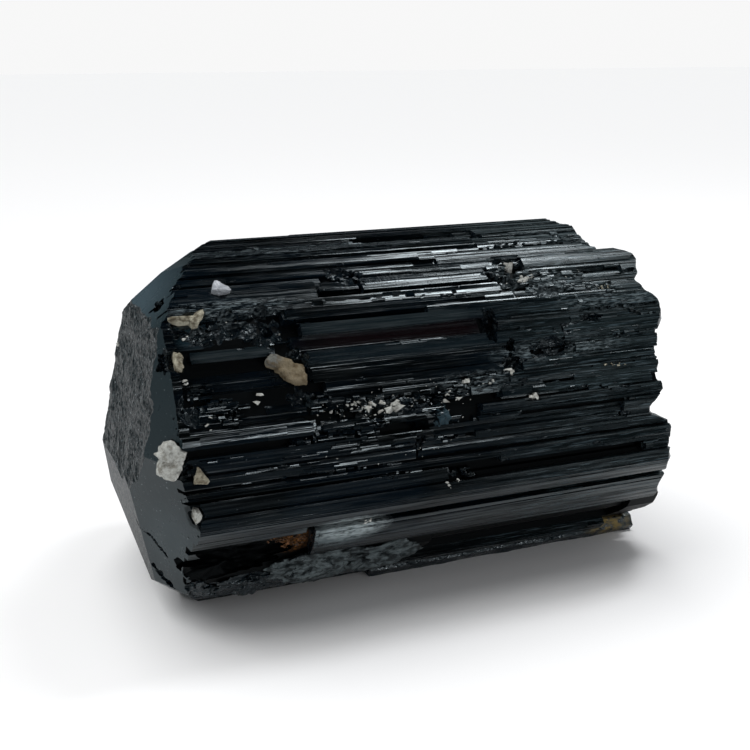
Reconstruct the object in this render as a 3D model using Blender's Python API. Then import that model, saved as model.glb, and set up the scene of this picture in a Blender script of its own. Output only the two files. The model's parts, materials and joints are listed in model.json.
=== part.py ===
"""Black tourmaline (schorl): one ribbed prism lying on its side, with mineral grains grown into it.

The long axis runs along X. Angles are measured about that axis: 90 is up, 180 faces -Y, 270 is down.
Sizes in the tables are millimetres and degrees. Blender's own unit is the metre.
"""
import math
import random

import bmesh
import bpy
from mathutils import Matrix, Vector, noise

MM = 0.001
SEED = 7

# --- driving sizes of the crystal (mm) ---
AXIS_HEIGHT = 26.0          # axis above the table before the flat underside is cut
CORNER_RADIUS = 29.0        # rounds off the corners between the prism faces
# outward direction of each prism face (degrees) and its distance from the axis (mm)
PRISM_FACES = {0: 27.0, 30: 26.8, 60: 27.4, 90: 26.9, 120: 27.4, 150: 27.4, 180: 28.2,
               210: 27.7, 240: 27.3, 270: 26.0, 300: 26.6, 330: 27.0}
RIB_HEIGHT = 1.8            # a full rib stands this far above the groove floor
CORE_INSET = 2.0            # the core lies just under the groove floor
CORE_STEP = 12              # degrees between the core's corners
RIB_ROOT = 3.2              # how deep a rib's root goes into the core
RIB_LEAN = 0.22             # sideways spread of a rib's flanks for each mm of depth
LEVEL_JITTER = 0.06         # keeps neighbouring rib tops from lying in one plane
END_JITTER = 0.25
UNDERSIDE = 0.25            # the flat resting face is cut this far above the lowest prism face
SEAT_GAP = 0.3              # gap left between a grain and its socket

LEFT = -56.0                # past the pointed end: cut back later by the end faces
CORE_RIGHT = 34.5           # the core's broken end

# Ribs on the side that faces -Y: (from angle, to angle, from x, to x, level above the groove floor)
FRONT_RIBS = [
    (70, 84, LEFT, 36, 1.6), (84, 97, LEFT, -5, 1.2), (84, 97, 17, 36, 1.5),
    (97, 108, LEFT, 13.5, 1.6), (97, 108, 13.5, 34, 0.9),
    (108, 110.5, LEFT, 14, 0.8), (108, 110.5, 14, 30, 0.1), (108, 110.5, 30, 35, 0.8),
    (110.5, 113, LEFT, 5.5, 1.4), (110.5, 113, 5.5, 34, 0.9),
    (113, 116, LEFT, 5, 0.8), (113, 116, 5, 34.5, 1.1),
    (116, 120, LEFT, -14, 0.6), (116, 120.5, -8.5, 14, 1.3), (116.5, 121, 19, 40.5, 1.7),
    (120, 123.5, LEFT, -15, 1.2), (120, 123.5, -15, -8.5, 0.9), (120.5, 126, -8.5, 12, 1.5),
    (121, 124, 19, 39.7, 1.2), (123.5, 127, LEFT, -15.5, 1.1), (124, 128, 35.5, 39.5, 1.5),
    (126, 128, 14, 37, 0.9), (128.2, 131, LEFT, 13, 1.5), (128.2, 131.5, 19, 39, 1.2),
    (132, 135, -22, 15, 1.4), (131.5, 135, 31.5, 39, 1.5), (132, 136, 15, 31.5, 0.9),
    (135, 137.6, -0.5, 40, 1.3), (137.6, 140.4, -20, 40, 1.6),
    (140.4, 146, -21.5, 7.7, 0.6), (140.4, 146, 10.3, 40, 1.3),
    (144.5, 146.5, -35.5, -25.5, 0.8), (146, 149.5, -20, 21, 1.7), (145.5, 149.5, 21, 39.5, 1.8),
    (149.5, 151.5, -20, 11, 1.0), (149.5, 151.5, 12.3, 38, 1.2),
    (151.5, 154, -20, 15, 1.3), (151.5, 154, 22, 38, 1.3),
    (154, 155.5, 13, 38, 0.9), (155.5, 158, -18, 10, 1.3), (155.5, 158, 13, 37, 1.3),
    (158, 160.5, LEFT, -30, 0.7), (158, 162, -18, 3, 0.6), (158, 162, 4, 37, 1.2),
    (162, 163.7, 4, 16, 1.0), (162, 163.7, 21, 37, 1.1), (163.7, 166, 8, 35, 1.4),
    (166, 169.5, LEFT, -20, 1.2), (167.4, 169.5, -20, -12, 1.1), (166, 169.5, -10, -3, 1.4),
    (167.4, 169.5, 5, 37, 1.3), (169.5, 171, 5, 37, 0.8),
    (171, 172.5, 4, 12, 1.1), (171, 172.5, 30, 36.7, 1.1),
    (172.5, 177, LEFT, -5.5, 1.6), (172.5, 175, -4, 34.7, 1.2), (175.5, 177, 4, 29, 1.4),
    (172.5, 177, 29, 34.7, 1.9),
    (177.8, 181, LEFT, -5, 1.4), (177, 181, -5, 36.7, 1.1), (182.4, 184.5, LEFT, 36.7, 1.3),
    (183, 186, 8, 35.7, 1.4), (185.6, 190, LEFT, 0, 1.4), (185.6, 190, 33.5, 38.7, 1.2),
    (190, 198.7, LEFT, 39.2, 1.8), (198.7, 202.5, LEFT, -21, 0.9),
    (201.5, 212.5, -20, 39.7, 1.8), (206, 208, LEFT, -33, 0.4),
    (238, 252, LEFT, 36.5, 1.5),
]

# The far side: ribs are laid one after another by a rule (degrees, mm)
BACK_FROM = 250.0
BACK_TO = 428.0
REST_FACE = (252.0, 288.0)  # one wide smooth prism face to lie on
BACK_WIDTHS = (2.2, 3.2, 4.5, 6.5, 9.0)
BACK_LEVELS = (0.9, 1.2, 1.4, 1.6, 1.8)
BACK_GROOVE = (0.4, 1.6)
BACK_RIGHT = (31.0, 39.0)
BACK_STEP_SHARE = 0.45      # share of the ribs that change level somewhere along their length
BACK_STEP_AT = (-25.0, 22.0)
BACK_STEP_DROP = (0.4, 0.9)

# Broken columns that step the far end: (y, z from the axis, radius, end x)
END_COLUMNS = [(-14, 8, 9.0, 36.6), (-16, -9, 8.5, 37.8), (-3, 15, 8.0, 34.8), (-2, -3, 10.0, 35.6),
               (6, -16, 7.5, 37.0), (13, 9, 9.0, 36.0), (15, -6, 8.0, 34.4), (-6, -18, 6.5, 36.2)]
COLUMN_SIDES = 6
COLUMN_TURN = 0.13          # each column is turned a little from the one before (share of a side)

# End faces: (tilt from the axis, outward direction, x where the plane crosses the axis)
END_FACES = {
    "upper_face": (48.0, 92.0, -62.0),
    "lower_face": (27.6, 210.0, -51.7),
    "side_face": (27.6, 150.0, -54.0),
    "down_face": (12.0, 275.0, -44.4),
    "base_face": (45.0, 290.0, -57.6),
    "base_corner": (56.0, 251.0, -74.0),
    "top_edge": (65.0, 82.0, -85.4),
    "far_face": (35.0, 22.0, -46.4),
    "far_upper_face": (56.0, 62.0, -64.6),
}
ETCHED_FACE = (10.0, 90.0, -43.3)   # the dull, uneven middle of the end
ETCHED_GRID = 22
ETCHED_RELIEF = 0.8
ETCHED_GRAIN = 5.0
END_CENTRE = -40.0          # the cutting blocks are centred beside this point of the axis
BLOCK = 80.0                # size of the blocks that cut the pointed end

# Broken hollows: (x, angle, height of the centre above the groove floor, and three half-sizes:
# along the axis, round the prism, and outward)
HOLLOWS = [
    (-30.0, 136.0, 1.6, 5.5, 3.4, 2.6), (-24.5, 138.0, 1.4, 3.2, 3.0, 2.8),
    (-25.0, 131.5, 1.5, 1.6, 1.3, 2.2),
    (-33.0, 141.0, 1.2, 3.4, 1.8, 1.8), (-24.0, 147.0, 1.4, 4.0, 2.4, 2.4),
    (-30.0, 153.0, 0.6, 9.0, 2.8, 1.6), (-24.0, 161.0, 0.8, 5.5, 2.6, 1.9),
    (-35.0, 162.0, 0.4, 4.0, 2.0, 1.2),
    (-11.0, 118.0, 1.6, 2.8, 2.2, 1.5), (17.0, 120.0, 1.4, 1.8, 1.7, 1.7), (15.5, 128.5, 1.4, 1.9, 1.6, 1.8),
    (20.5, 132.5, 1.6, 4.6, 2.0, 1.3), (9.2, 143.5, 1.2, 1.3, 2.6, 2.4), (26.5, 144.0, 1.7, 2.3, 1.0, 1.3),
    (11.8, 150.5, 1.2, 0.8, 1.2, 1.4), (18.5, 152.5, 1.4, 3.6, 1.6, 1.6), (11.5, 156.0, 1.4, 1.5, 1.7, 1.8),
    (-8.5, 164.5, 1.5, 5.5, 1.7, 1.6), (0.5, 163.5, 1.5, 3.4, 2.3, 1.7), (-9.5, 172.0, 1.7, 2.6, 1.8, 1.5),
    (-4.6, 176.0, 1.3, 0.8, 1.1, 1.3), (1.5, 188.0, 1.6, 1.7, 1.2, 1.3), (14.0, 167.0, 1.4, 1.5, 1.0, 1.3),
    (-39.6, 174.0, 0.8, 1.6, 1.9, 2.4), (-37.5, 121.0, -1.5, 1.5, 1.6, 1.5),
    (-38.0, 189.0, 1.2, 1.4, 2.0, 1.6),
    (-39.6, 144.0, 0.6, 1.0, 1.7, 2.0), (-36.9, 135.6, 1.4, 1.6, 1.0, 1.8),
]
HOLLOW_RELIEF = 0.20        # noise on a hollow's wall, as a share of its size
# The dark channel under the lowest smooth face, towards the pointed end: six numbers as above
UNDERCUT = (-33.5, 209.5, -0.4, 8.0, 3.4, 3.0)
# The deep slot along the lower front: (from angle, to angle, from x, to x, floor level)
DEEP_SLOT = (186.2, 189.7, 4.0, 33.5, -0.9)

# The foot that shows below the dark channel: outline (y, z) in mm, from x, to x
FOOT_OUTLINE = [(-11.8, 0.0), (-12.7, 1.3), (-11.9, 3.0), (-8.0, 5.0), (-5.0, 4.0), (-5.0, 0.0)]
FOOT_ENDS = (-6.0, 43.6)

# Rough lumps fused to the base: the same six numbers as a hollow
LUMPS = [(-18.5, 216.5, -0.3, 7.0, 3.6, 1.9), (-38.5, 213.0, -1.2, 4.2, 4.6, 2.2),
         (-27.5, 221.0, -0.6, 6.0, 2.8, 1.6), (-6.0, 222.0, -0.8, 7.0, 2.4, 1.6)]
LUMP_RELIEF = 0.22

# Grains of other minerals: (x, angle, height above the groove floor, length, width, depth, relief, turn)
GRAINS = {
    "feldspar_lump": (-41.0, 171.8, 0.2, 2.35, 2.75, 1.9, 0.20, 10.0),
    "feldspar_wedge": (-37.3, 177.0, 1.1, 1.2, 1.25, 0.9, 0.10, 35.0),
    "feldspar_flake": (-23.3, 150.0, 1.3, 3.1, 1.75, 0.8, 0.14, -32.0),
    "feldspar_bar": (-35.4, 132.6, 1.4, 2.7, 0.95, 0.9, 0.12, 12.0),
    "feldspar_block": (-38.2, 144.2, 0.9, 0.95, 1.5, 1.0, 0.14, 0.0),
    "feldspar_bead": (-37.6, 188.9, 1.1, 0.8, 1.1, 0.9, 0.12, 0.0),
    "mica_flake": (-29.5, 120.0, 1.3, 1.5, 1.6, 0.55, 0.08, 20.0),
}
GRAIN_COLOURS = {
    "feldspar_lump": (0.62, 0.60, 0.55), "feldspar_wedge": (0.66, 0.60, 0.46),
    "feldspar_flake": (0.48, 0.40, 0.28), "feldspar_bar": (0.62, 0.58, 0.44),
    "feldspar_block": (0.60, 0.56, 0.44), "feldspar_bead": (0.55, 0.53, 0.47),
    "mica_flake": (0.55, 0.56, 0.58),
}


def clear_scene():
    """Remove every object, so the script can be run again."""
    for obj in list(bpy.data.objects):
        bpy.data.objects.remove(obj, do_unlink=True)


def make_collection(name):
    """Return a new collection linked to the scene."""
    collection = bpy.data.collections.new(name)
    bpy.context.scene.collection.children.link(collection)
    return collection


def section_radius(angle):
    """Distance (mm) from the axis to the outside of the prism in one direction."""
    radius = CORNER_RADIUS
    for direction, distance in PRISM_FACES.items():
        facing = math.cos(math.radians(angle - direction))
        if facing > 0.1:
            radius = min(radius, distance / facing)
    return radius


def on_section(angle, level):
    """Point (y, z) in mm at an angle, a given level above the groove floor."""
    radius = section_radius(angle) - RIB_HEIGHT + level
    turn = math.radians(angle)
    return radius * math.cos(turn), AXIS_HEIGHT + radius * math.sin(turn)


def outward_direction(angle):
    """Unit outward direction in the Y-Z plane."""
    turn = math.radians(angle)
    return Vector((0.0, math.cos(turn), math.sin(turn)))


def link_mesh(name, bm, collection):
    """Turn a bmesh into an object in a collection."""
    bmesh.ops.recalc_face_normals(bm, faces=bm.faces)
    mesh = bpy.data.meshes.new(name)
    bm.to_mesh(mesh)
    bm.free()
    obj = bpy.data.objects.new(name, mesh)
    collection.objects.link(obj)
    return obj


def prism(name, outline, x_from, x_to, collection):
    """A closed prism along X from a flat outline of (y, z) points in mm."""
    curve = bpy.data.curves.new(name, "CURVE")
    curve.dimensions = "2D"
    curve.fill_mode = "BOTH"
    curve.extrude = 0.5 * (x_to - x_from) * MM
    spline = curve.splines.new("POLY")
    spline.points.add(len(outline) - 1)
    for point, (y, z) in zip(spline.points, outline):
        point.co = (y * MM, z * MM, 0.0, 1.0)
    spline.use_cyclic_u = True
    source = bpy.data.objects.new(name + "_outline", curve)
    collection.objects.link(source)
    bpy.context.view_layer.update()
    flat = source.evaluated_get(bpy.context.evaluated_depsgraph_get())
    bm = bmesh.new()
    bm.from_mesh(bpy.data.meshes.new_from_object(flat))
    bpy.data.objects.remove(source, do_unlink=True)
    bmesh.ops.remove_doubles(bm, verts=bm.verts, dist=0.001 * MM)
    # the outline's x and y become world Y and Z, and its thickness runs along X
    upright = Matrix(((0, 0, 1, 0), (1, 0, 0, 0), (0, 1, 0, 0), (0, 0, 0, 1)))
    middle = Matrix.Translation((0.5 * (x_from + x_to) * MM, 0.0, 0.0))
    bmesh.ops.transform(bm, matrix=middle @ upright, verts=bm.verts)
    return link_mesh(name, bm, collection)


def rib(name, numbers, rng, collection):
    """One rib: its top is flat, and its flanks lean a little into the core."""
    angle_from, angle_to, x_from, x_to, level = numbers
    level += rng.uniform(-LEVEL_JITTER, LEVEL_JITTER)
    x_to += rng.uniform(-END_JITTER, END_JITTER)
    if x_from > LEFT:
        x_from += rng.uniform(-END_JITTER, END_JITTER)
    first = Vector(on_section(angle_from, level))
    last = Vector(on_section(angle_to, level))
    along = (last - first).normalized()
    inward = Vector((0.0, AXIS_HEIGHT)) - 0.5 * (first + last)
    inward = (inward - along * inward.dot(along)).normalized()
    spread = along * RIB_LEAN * RIB_ROOT
    outline = [first, last, last + inward * RIB_ROOT + spread, first + inward * RIB_ROOT - spread]
    return prism(name, outline, x_from, x_to, collection)


def back_ribs(rng):
    """Rib numbers for the far side, laid one after another by a rule."""
    ribs = []
    angle = BACK_FROM
    while angle < BACK_TO - BACK_WIDTHS[0]:
        if REST_FACE[0] - BACK_WIDTHS[-1] < angle < REST_FACE[0]:
            ribs.append((REST_FACE[0], REST_FACE[1], LEFT, rng.uniform(*BACK_RIGHT), RIB_HEIGHT))
            angle = REST_FACE[1] + rng.uniform(*BACK_GROOVE)
        width = min(rng.choice(BACK_WIDTHS), BACK_TO - angle)
        level = rng.choice(BACK_LEVELS)
        right = rng.uniform(*BACK_RIGHT)
        if rng.random() < BACK_STEP_SHARE:
            step = rng.uniform(*BACK_STEP_AT)
            ribs.append((angle, angle + width, LEFT, step, level))
            ribs.append((angle, angle + width, step, right, level - rng.uniform(*BACK_STEP_DROP)))
        else:
            ribs.append((angle, angle + width, LEFT, right, level))
        angle += width + rng.uniform(*BACK_GROOVE)
    return ribs


def pebble(name, numbers, relief, turn, subdivisions, seed, collection, grow=0.0):
    """An uneven closed lump set on the surface, turned by some degrees about its outward direction."""
    x, angle, level, length, width, depth = numbers
    y, z = on_section(angle, level)
    outward = outward_direction(angle)
    along = Vector((1.0, 0.0, 0.0))
    around = outward.cross(along)
    frame = Matrix((along, around, outward)).transposed()
    spin = Matrix.Rotation(math.radians(turn), 3, "Z")
    offset = Vector((seed * 3.7, seed * 1.3, seed * 2.1))
    bm = bmesh.new()
    bmesh.ops.create_icosphere(bm, subdivisions=subdivisions, radius=1.0)
    for vert in bm.verts:
        direction = vert.co.normalized()
        coarse = noise.noise(direction * 1.9 + offset)
        fine = noise.noise(direction * 4.3 + offset)
        swell = 1.0 + relief * (2.0 * coarse + fine)
        size = Vector((length + grow, width + grow, depth + grow))
        local = Vector((direction.x * size.x, direction.y * size.y, direction.z * size.z)) * swell
        vert.co = (Vector((x, y, z)) + frame @ (spin @ local)) * MM
    return link_mesh(name, bm, collection)


def end_block(name, face, grid, relief, seed, collection):
    """A block that removes everything beyond one end face; its cutting side may be uneven."""
    tilt, direction, x_axis = face
    lean = math.radians(tilt)
    side = outward_direction(direction)
    normal = (Vector((-math.cos(lean), 0.0, 0.0)) + side * math.sin(lean)).normalized()
    turn = normal.to_track_quat("Z", "Y").to_matrix().to_4x4()
    on_axis = Vector((x_axis, 0.0, AXIS_HEIGHT))
    end = Vector((END_CENTRE, 0.0, AXIS_HEIGHT))
    centre = (end - normal * normal.dot(end - on_axis)) * MM
    bm = bmesh.new()
    bmesh.ops.create_grid(bm, x_segments=grid, y_segments=grid, size=0.5 * BLOCK * MM)
    shift = Vector((seed * 5.0, seed * 9.0, 0.0))
    for vert in bm.verts:
        spot = vert.co / MM / ETCHED_GRAIN + shift
        lift = noise.noise(spot) + 0.5 * noise.noise(spot * 2.3)
        vert.co.z += relief * lift * MM
    flat = list(bm.faces)
    lifted = bmesh.ops.extrude_face_region(bm, geom=flat)
    top = [item for item in lifted["geom"] if isinstance(item, bmesh.types.BMVert)]
    bmesh.ops.translate(bm, verts=top, vec=(0.0, 0.0, 0.5 * BLOCK * MM))
    bmesh.ops.transform(bm, matrix=Matrix.Translation(centre) @ turn, verts=bm.verts)
    return link_mesh(name, bm, collection)


def box_block(name, low, high, collection):
    """An axis-aligned block between two corners in mm."""
    bm = bmesh.new()
    bmesh.ops.create_cube(bm, size=1.0)
    size = Vector(high) - Vector(low)
    middle = 0.5 * (Vector(high) + Vector(low))
    for vert in bm.verts:
        vert.co = Vector((vert.co.x * size.x, vert.co.y * size.y, vert.co.z * size.z)) * MM + middle * MM
    return link_mesh(name, bm, collection)


def combine(target, operation, collection):
    """Apply one Boolean with every object of a collection, and keep the mesh."""
    step = target.modifiers.new(operation.lower(), "BOOLEAN")
    step.operation = operation
    step.operand_type = "COLLECTION"
    step.collection = collection
    step.solver = "EXACT"
    bpy.context.view_layer.update()
    evaluated = target.evaluated_get(bpy.context.evaluated_depsgraph_get())
    mesh = bpy.data.meshes.new_from_object(evaluated)
    target.modifiers.clear()
    old = target.data
    target.data = mesh
    bpy.data.meshes.remove(old)


def clean_mesh(obj):
    """Weld, drop slivers and keep only the largest body."""
    bm = bmesh.new()
    bm.from_mesh(obj.data)
    bmesh.ops.triangulate(bm, faces=bm.faces)
    groups = []
    unseen = set(bm.verts)
    while unseen:
        stack = [unseen.pop()]
        group = []
        while stack:
            vert = stack.pop()
            group.append(vert)
            for edge in vert.link_edges:
                other = edge.other_vert(vert)
                if other in unseen:
                    unseen.remove(other)
                    stack.append(other)
        groups.append(group)
    groups.sort(key=len)
    for group in groups[:-1]:
        bmesh.ops.delete(bm, geom=group, context="VERTS")
    bmesh.ops.recalc_face_normals(bm, faces=bm.faces)
    bm.to_mesh(obj.data)
    bm.free()
    obj.data.shade_flat()


def make_material(name, colour, roughness):
    """A plain Principled material."""
    material = bpy.data.materials.new(name)
    material.use_nodes = True
    shader = material.node_tree.nodes["Principled BSDF"]
    shader.inputs["Base Color"].default_value = (*colour, 1.0)
    shader.inputs["Roughness"].default_value = roughness
    shader.inputs["Metallic"].default_value = 0.0
    return material


def make_crystal(parts, cutters):
    """Core and ribs joined in one body, then cut by the end faces, hollows and underside."""
    rng = random.Random(SEED)
    rib_set = make_collection("ribs")
    cut_set = make_collection("cuts")
    for child in (rib_set, cut_set):
        bpy.context.scene.collection.children.unlink(child)
        cutters.children.link(child)

    outline = [on_section(angle, RIB_HEIGHT - CORE_INSET) for angle in range(0, 360, CORE_STEP)]
    crystal = prism("tourmaline_crystal", outline, LEFT, CORE_RIGHT, parts)
    for index, numbers in enumerate(FRONT_RIBS + back_ribs(rng)):
        rib(f"rib_{index:03d}", numbers, rng, rib_set)
    for index, (y, z, radius, x_end) in enumerate(END_COLUMNS):
        turns = [math.tau * (side + COLUMN_TURN * index) / COLUMN_SIDES for side in range(COLUMN_SIDES)]
        column = [(y + radius * math.cos(turn), AXIS_HEIGHT + z + radius * math.sin(turn)) for turn in turns]
        prism(f"column_{index}", column, 0.0, x_end, rib_set)
    for index, numbers in enumerate(LUMPS):
        pebble(f"lump_{index}", numbers, LUMP_RELIEF, 0.0, 3, index + 21, rib_set)
    prism("foot", FOOT_OUTLINE, FOOT_ENDS[0], FOOT_ENDS[1], rib_set)
    combine(crystal, "UNION", rib_set)

    for index, numbers in enumerate(HOLLOWS):
        pebble(f"hollow_{index:02d}", numbers, HOLLOW_RELIEF, 0.0, 2, index + 1, cut_set)
    pebble("undercut", UNDERCUT, HOLLOW_RELIEF, 0.0, 3, 61, cut_set)
    angle_from, angle_to, x_from, x_to, floor = DEEP_SLOT
    slot = [on_section(angle_from, floor), on_section(angle_to, floor),
            on_section(angle_to + 0.3, 4.0), on_section(angle_from - 0.3, 4.0)]
    prism("deep_slot", slot, x_from, x_to, cut_set)
    for index, (name, numbers) in enumerate(GRAINS.items()):
        pebble(name + "_socket", numbers[:6], numbers[6], numbers[7], 2, index + 41, cut_set, SEAT_GAP)
    for name, face in END_FACES.items():
        end_block(name, face, 1, 0.0, 0, cut_set)
    end_block("etched_face", ETCHED_FACE, ETCHED_GRID, ETCHED_RELIEF, 3, cut_set)
    box_block("underside", (-80.0, -60.0, -30.0), (80.0, 60.0, UNDERSIDE), cut_set)
    combine(crystal, "DIFFERENCE", cut_set)
    clean_mesh(crystal)
    crystal.data.materials.clear()
    crystal.data.materials.append(make_material("schorl", (0.006, 0.008, 0.010), 0.22))
    for cutter in list(rib_set.objects) + list(cut_set.objects):
        cutter.hide_render = True
        cutter.display_type = "WIRE"
    return crystal


def make_grains(parts):
    """Each grain is its own closed lump in its socket."""
    grains = []
    for index, (name, numbers) in enumerate(GRAINS.items()):
        grain = pebble(name, numbers[:6], numbers[6], numbers[7], 2, index + 41, parts)
        grain.data.materials.append(make_material(name, GRAIN_COLOURS[name], 0.6))
        grains.append(grain)
    return grains


def centre_on_base(pieces, parts):
    """Put the origin at the middle of the underside by moving one parent."""
    corners = [vert.co for piece in pieces for vert in piece.data.vertices]
    low = Vector([min(corner[axis] for corner in corners) for axis in range(3)])
    high = Vector([max(corner[axis] for corner in corners) for axis in range(3)])
    holder = bpy.data.objects.new("specimen", None)
    holder.location = (-0.5 * (low.x + high.x), -0.5 * (low.y + high.y), -low.z)
    parts.objects.link(holder)
    for piece in pieces:
        piece.parent = holder
    print("moved by", [round(value / MM, 3) for value in holder.location], "mm")
    print("size", [round(value / MM, 2) for value in high - low], "mm")


def main():
    """Build the specimen."""
    clear_scene()
    parts = make_collection("tourmaline_crystal")
    cutters = make_collection("cutters")
    crystal = make_crystal(parts, cutters)
    grains = make_grains(parts)
    centre_on_base([crystal] + grains, parts)


main()
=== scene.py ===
# %% [markdown]
# # A black tourmaline crystal
# Black tourmaline is called schorl. It grows as a stout prism with a rounded three-sided section,
# and its long faces are covered with fine steps that run along the crystal. This lesson builds one
# that lies on its side: first the ribs, then the broken places, then the grains of feldspar and
# mica that grew into it, and last the materials and the light.
# The solid model made earlier gives the size and the place. Everything here is fitted to its box.

# %% The frame and the crystal's own axis
import json
import math
import random

import bmesh
import bpy
from mathutils import Matrix, Vector, noise

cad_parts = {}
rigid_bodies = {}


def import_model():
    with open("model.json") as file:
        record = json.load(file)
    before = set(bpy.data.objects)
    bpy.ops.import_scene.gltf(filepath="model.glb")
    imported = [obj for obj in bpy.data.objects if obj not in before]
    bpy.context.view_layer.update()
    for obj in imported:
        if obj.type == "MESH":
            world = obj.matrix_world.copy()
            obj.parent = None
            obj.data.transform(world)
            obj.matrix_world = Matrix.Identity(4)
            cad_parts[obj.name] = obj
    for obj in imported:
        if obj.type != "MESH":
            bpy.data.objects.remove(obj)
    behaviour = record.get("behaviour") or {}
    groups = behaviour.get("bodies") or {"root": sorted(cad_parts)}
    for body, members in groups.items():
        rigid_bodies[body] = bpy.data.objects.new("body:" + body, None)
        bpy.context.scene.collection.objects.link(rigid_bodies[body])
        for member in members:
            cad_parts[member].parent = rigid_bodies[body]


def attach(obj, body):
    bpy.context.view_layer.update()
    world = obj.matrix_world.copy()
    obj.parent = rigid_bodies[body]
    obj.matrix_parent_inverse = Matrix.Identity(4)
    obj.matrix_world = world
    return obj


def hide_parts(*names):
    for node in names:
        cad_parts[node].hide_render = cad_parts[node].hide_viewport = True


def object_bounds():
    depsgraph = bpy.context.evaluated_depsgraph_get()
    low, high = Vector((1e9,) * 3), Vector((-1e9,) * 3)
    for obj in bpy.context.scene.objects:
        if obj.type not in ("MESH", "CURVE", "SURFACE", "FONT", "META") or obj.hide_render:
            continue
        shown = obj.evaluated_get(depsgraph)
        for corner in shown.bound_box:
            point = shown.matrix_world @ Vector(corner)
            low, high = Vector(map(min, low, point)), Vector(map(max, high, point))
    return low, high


for leftover in list(bpy.data.objects):
    bpy.data.objects.remove(leftover, do_unlink=True)
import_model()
cad_box = [list(corner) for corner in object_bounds()]

MM = 0.001
PART = "tourmaline_crystal"
AXIS_HEIGHT = 26.0        # the axis above the lowest prism face, before the underside is cut flat
UNDERSIDE = 0.25          # the flat resting face is cut this far above that face
FOOT_RIGHT = 43.6         # the foot's end, measured along the axis
FAR_REACH = 26.86         # how far the far side reaches from the axis

low, high = Vector(cad_box[0]) / MM, Vector(cad_box[1]) / MM
AXIS = Vector((high.x - FOOT_RIGHT, high.y - FAR_REACH, low.z - UNDERSIDE + AXIS_HEIGHT))
print("box (mm):", [round(v, 1) for v in low], [round(v, 1) for v in high])
print("axis passes through (mm):", [round(v, 2) for v in AXIS])

# %% [markdown]
# ## Places on the prism
# A point on the crystal is easiest to give as a distance along the axis and an angle round it,
# as on a map of a cylinder. 90 degrees is the top, 180 is the side facing us, 270 is the underside.
# The section is not a circle: each prism face cuts it off straight, at its own distance.

# %% The section of the prism
CORNER_RADIUS = 29.0
PRISM_FACES = {0: 27.0, 30: 26.8, 60: 27.4, 90: 26.9, 120: 27.4, 150: 27.4, 180: 28.2,
               210: 27.7, 240: 27.3, 270: 26.0, 300: 26.6, 330: 27.0}
RIB_HEIGHT = 1.8          # a full rib stands this far above the groove floor
MM_PER_DEGREE = 0.49      # distance round the prism for each degree


def section_radius(angle):
    """Distance (mm) from the axis to the outside of the prism in one direction."""
    radius = CORNER_RADIUS
    for direction, distance in PRISM_FACES.items():
        facing = math.cos(math.radians(angle - direction))
        if facing > 0.1:
            radius = min(radius, distance / facing)
    return radius


def outward_direction(angle):
    """Unit outward direction in the Y-Z plane."""
    turn = math.radians(angle)
    return Vector((0.0, math.cos(turn), math.sin(turn)))


def on_prism(x, angle, level):
    """A point (mm) at x along the axis, an angle round it and a level above the groove floor."""
    reach = section_radius(angle) - RIB_HEIGHT + level
    return AXIS + Vector((x, 0.0, 0.0)) + outward_direction(angle) * reach


def face_normal(angle):
    """The angle that the prism's surface faces, which near a corner is not the angle itself."""
    before = on_prism(0.0, angle - 1.5, RIB_HEIGHT)
    after = on_prism(0.0, angle + 1.5, RIB_HEIGHT)
    along = after - before
    return math.degrees(math.atan2(along.z, along.y)) - 90.0


print("section radius every 30 degrees:", [round(section_radius(a), 1) for a in range(0, 360, 30)])

# %% [markdown]
# ## The ribs
# The long faces of schorl are striated: thin layers ended at different places as the crystal grew,
# which left ribs and grooves parallel to the axis. The large ribs are listed one by one, because each
# specimen has its own. A row gives where the rib starts and ends round the prism (degrees) and
# along it (mm), how high it stands, and how rough its top is.

# %% The large ribs on the near side
LEFT = -56.0              # beyond the pointed end: the end faces cut it back later
ROUGH, PLAIN, SMOOTH = 0.16, 0.09, 0.025   # height of the fine steps on a rib's top (mm)

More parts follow.
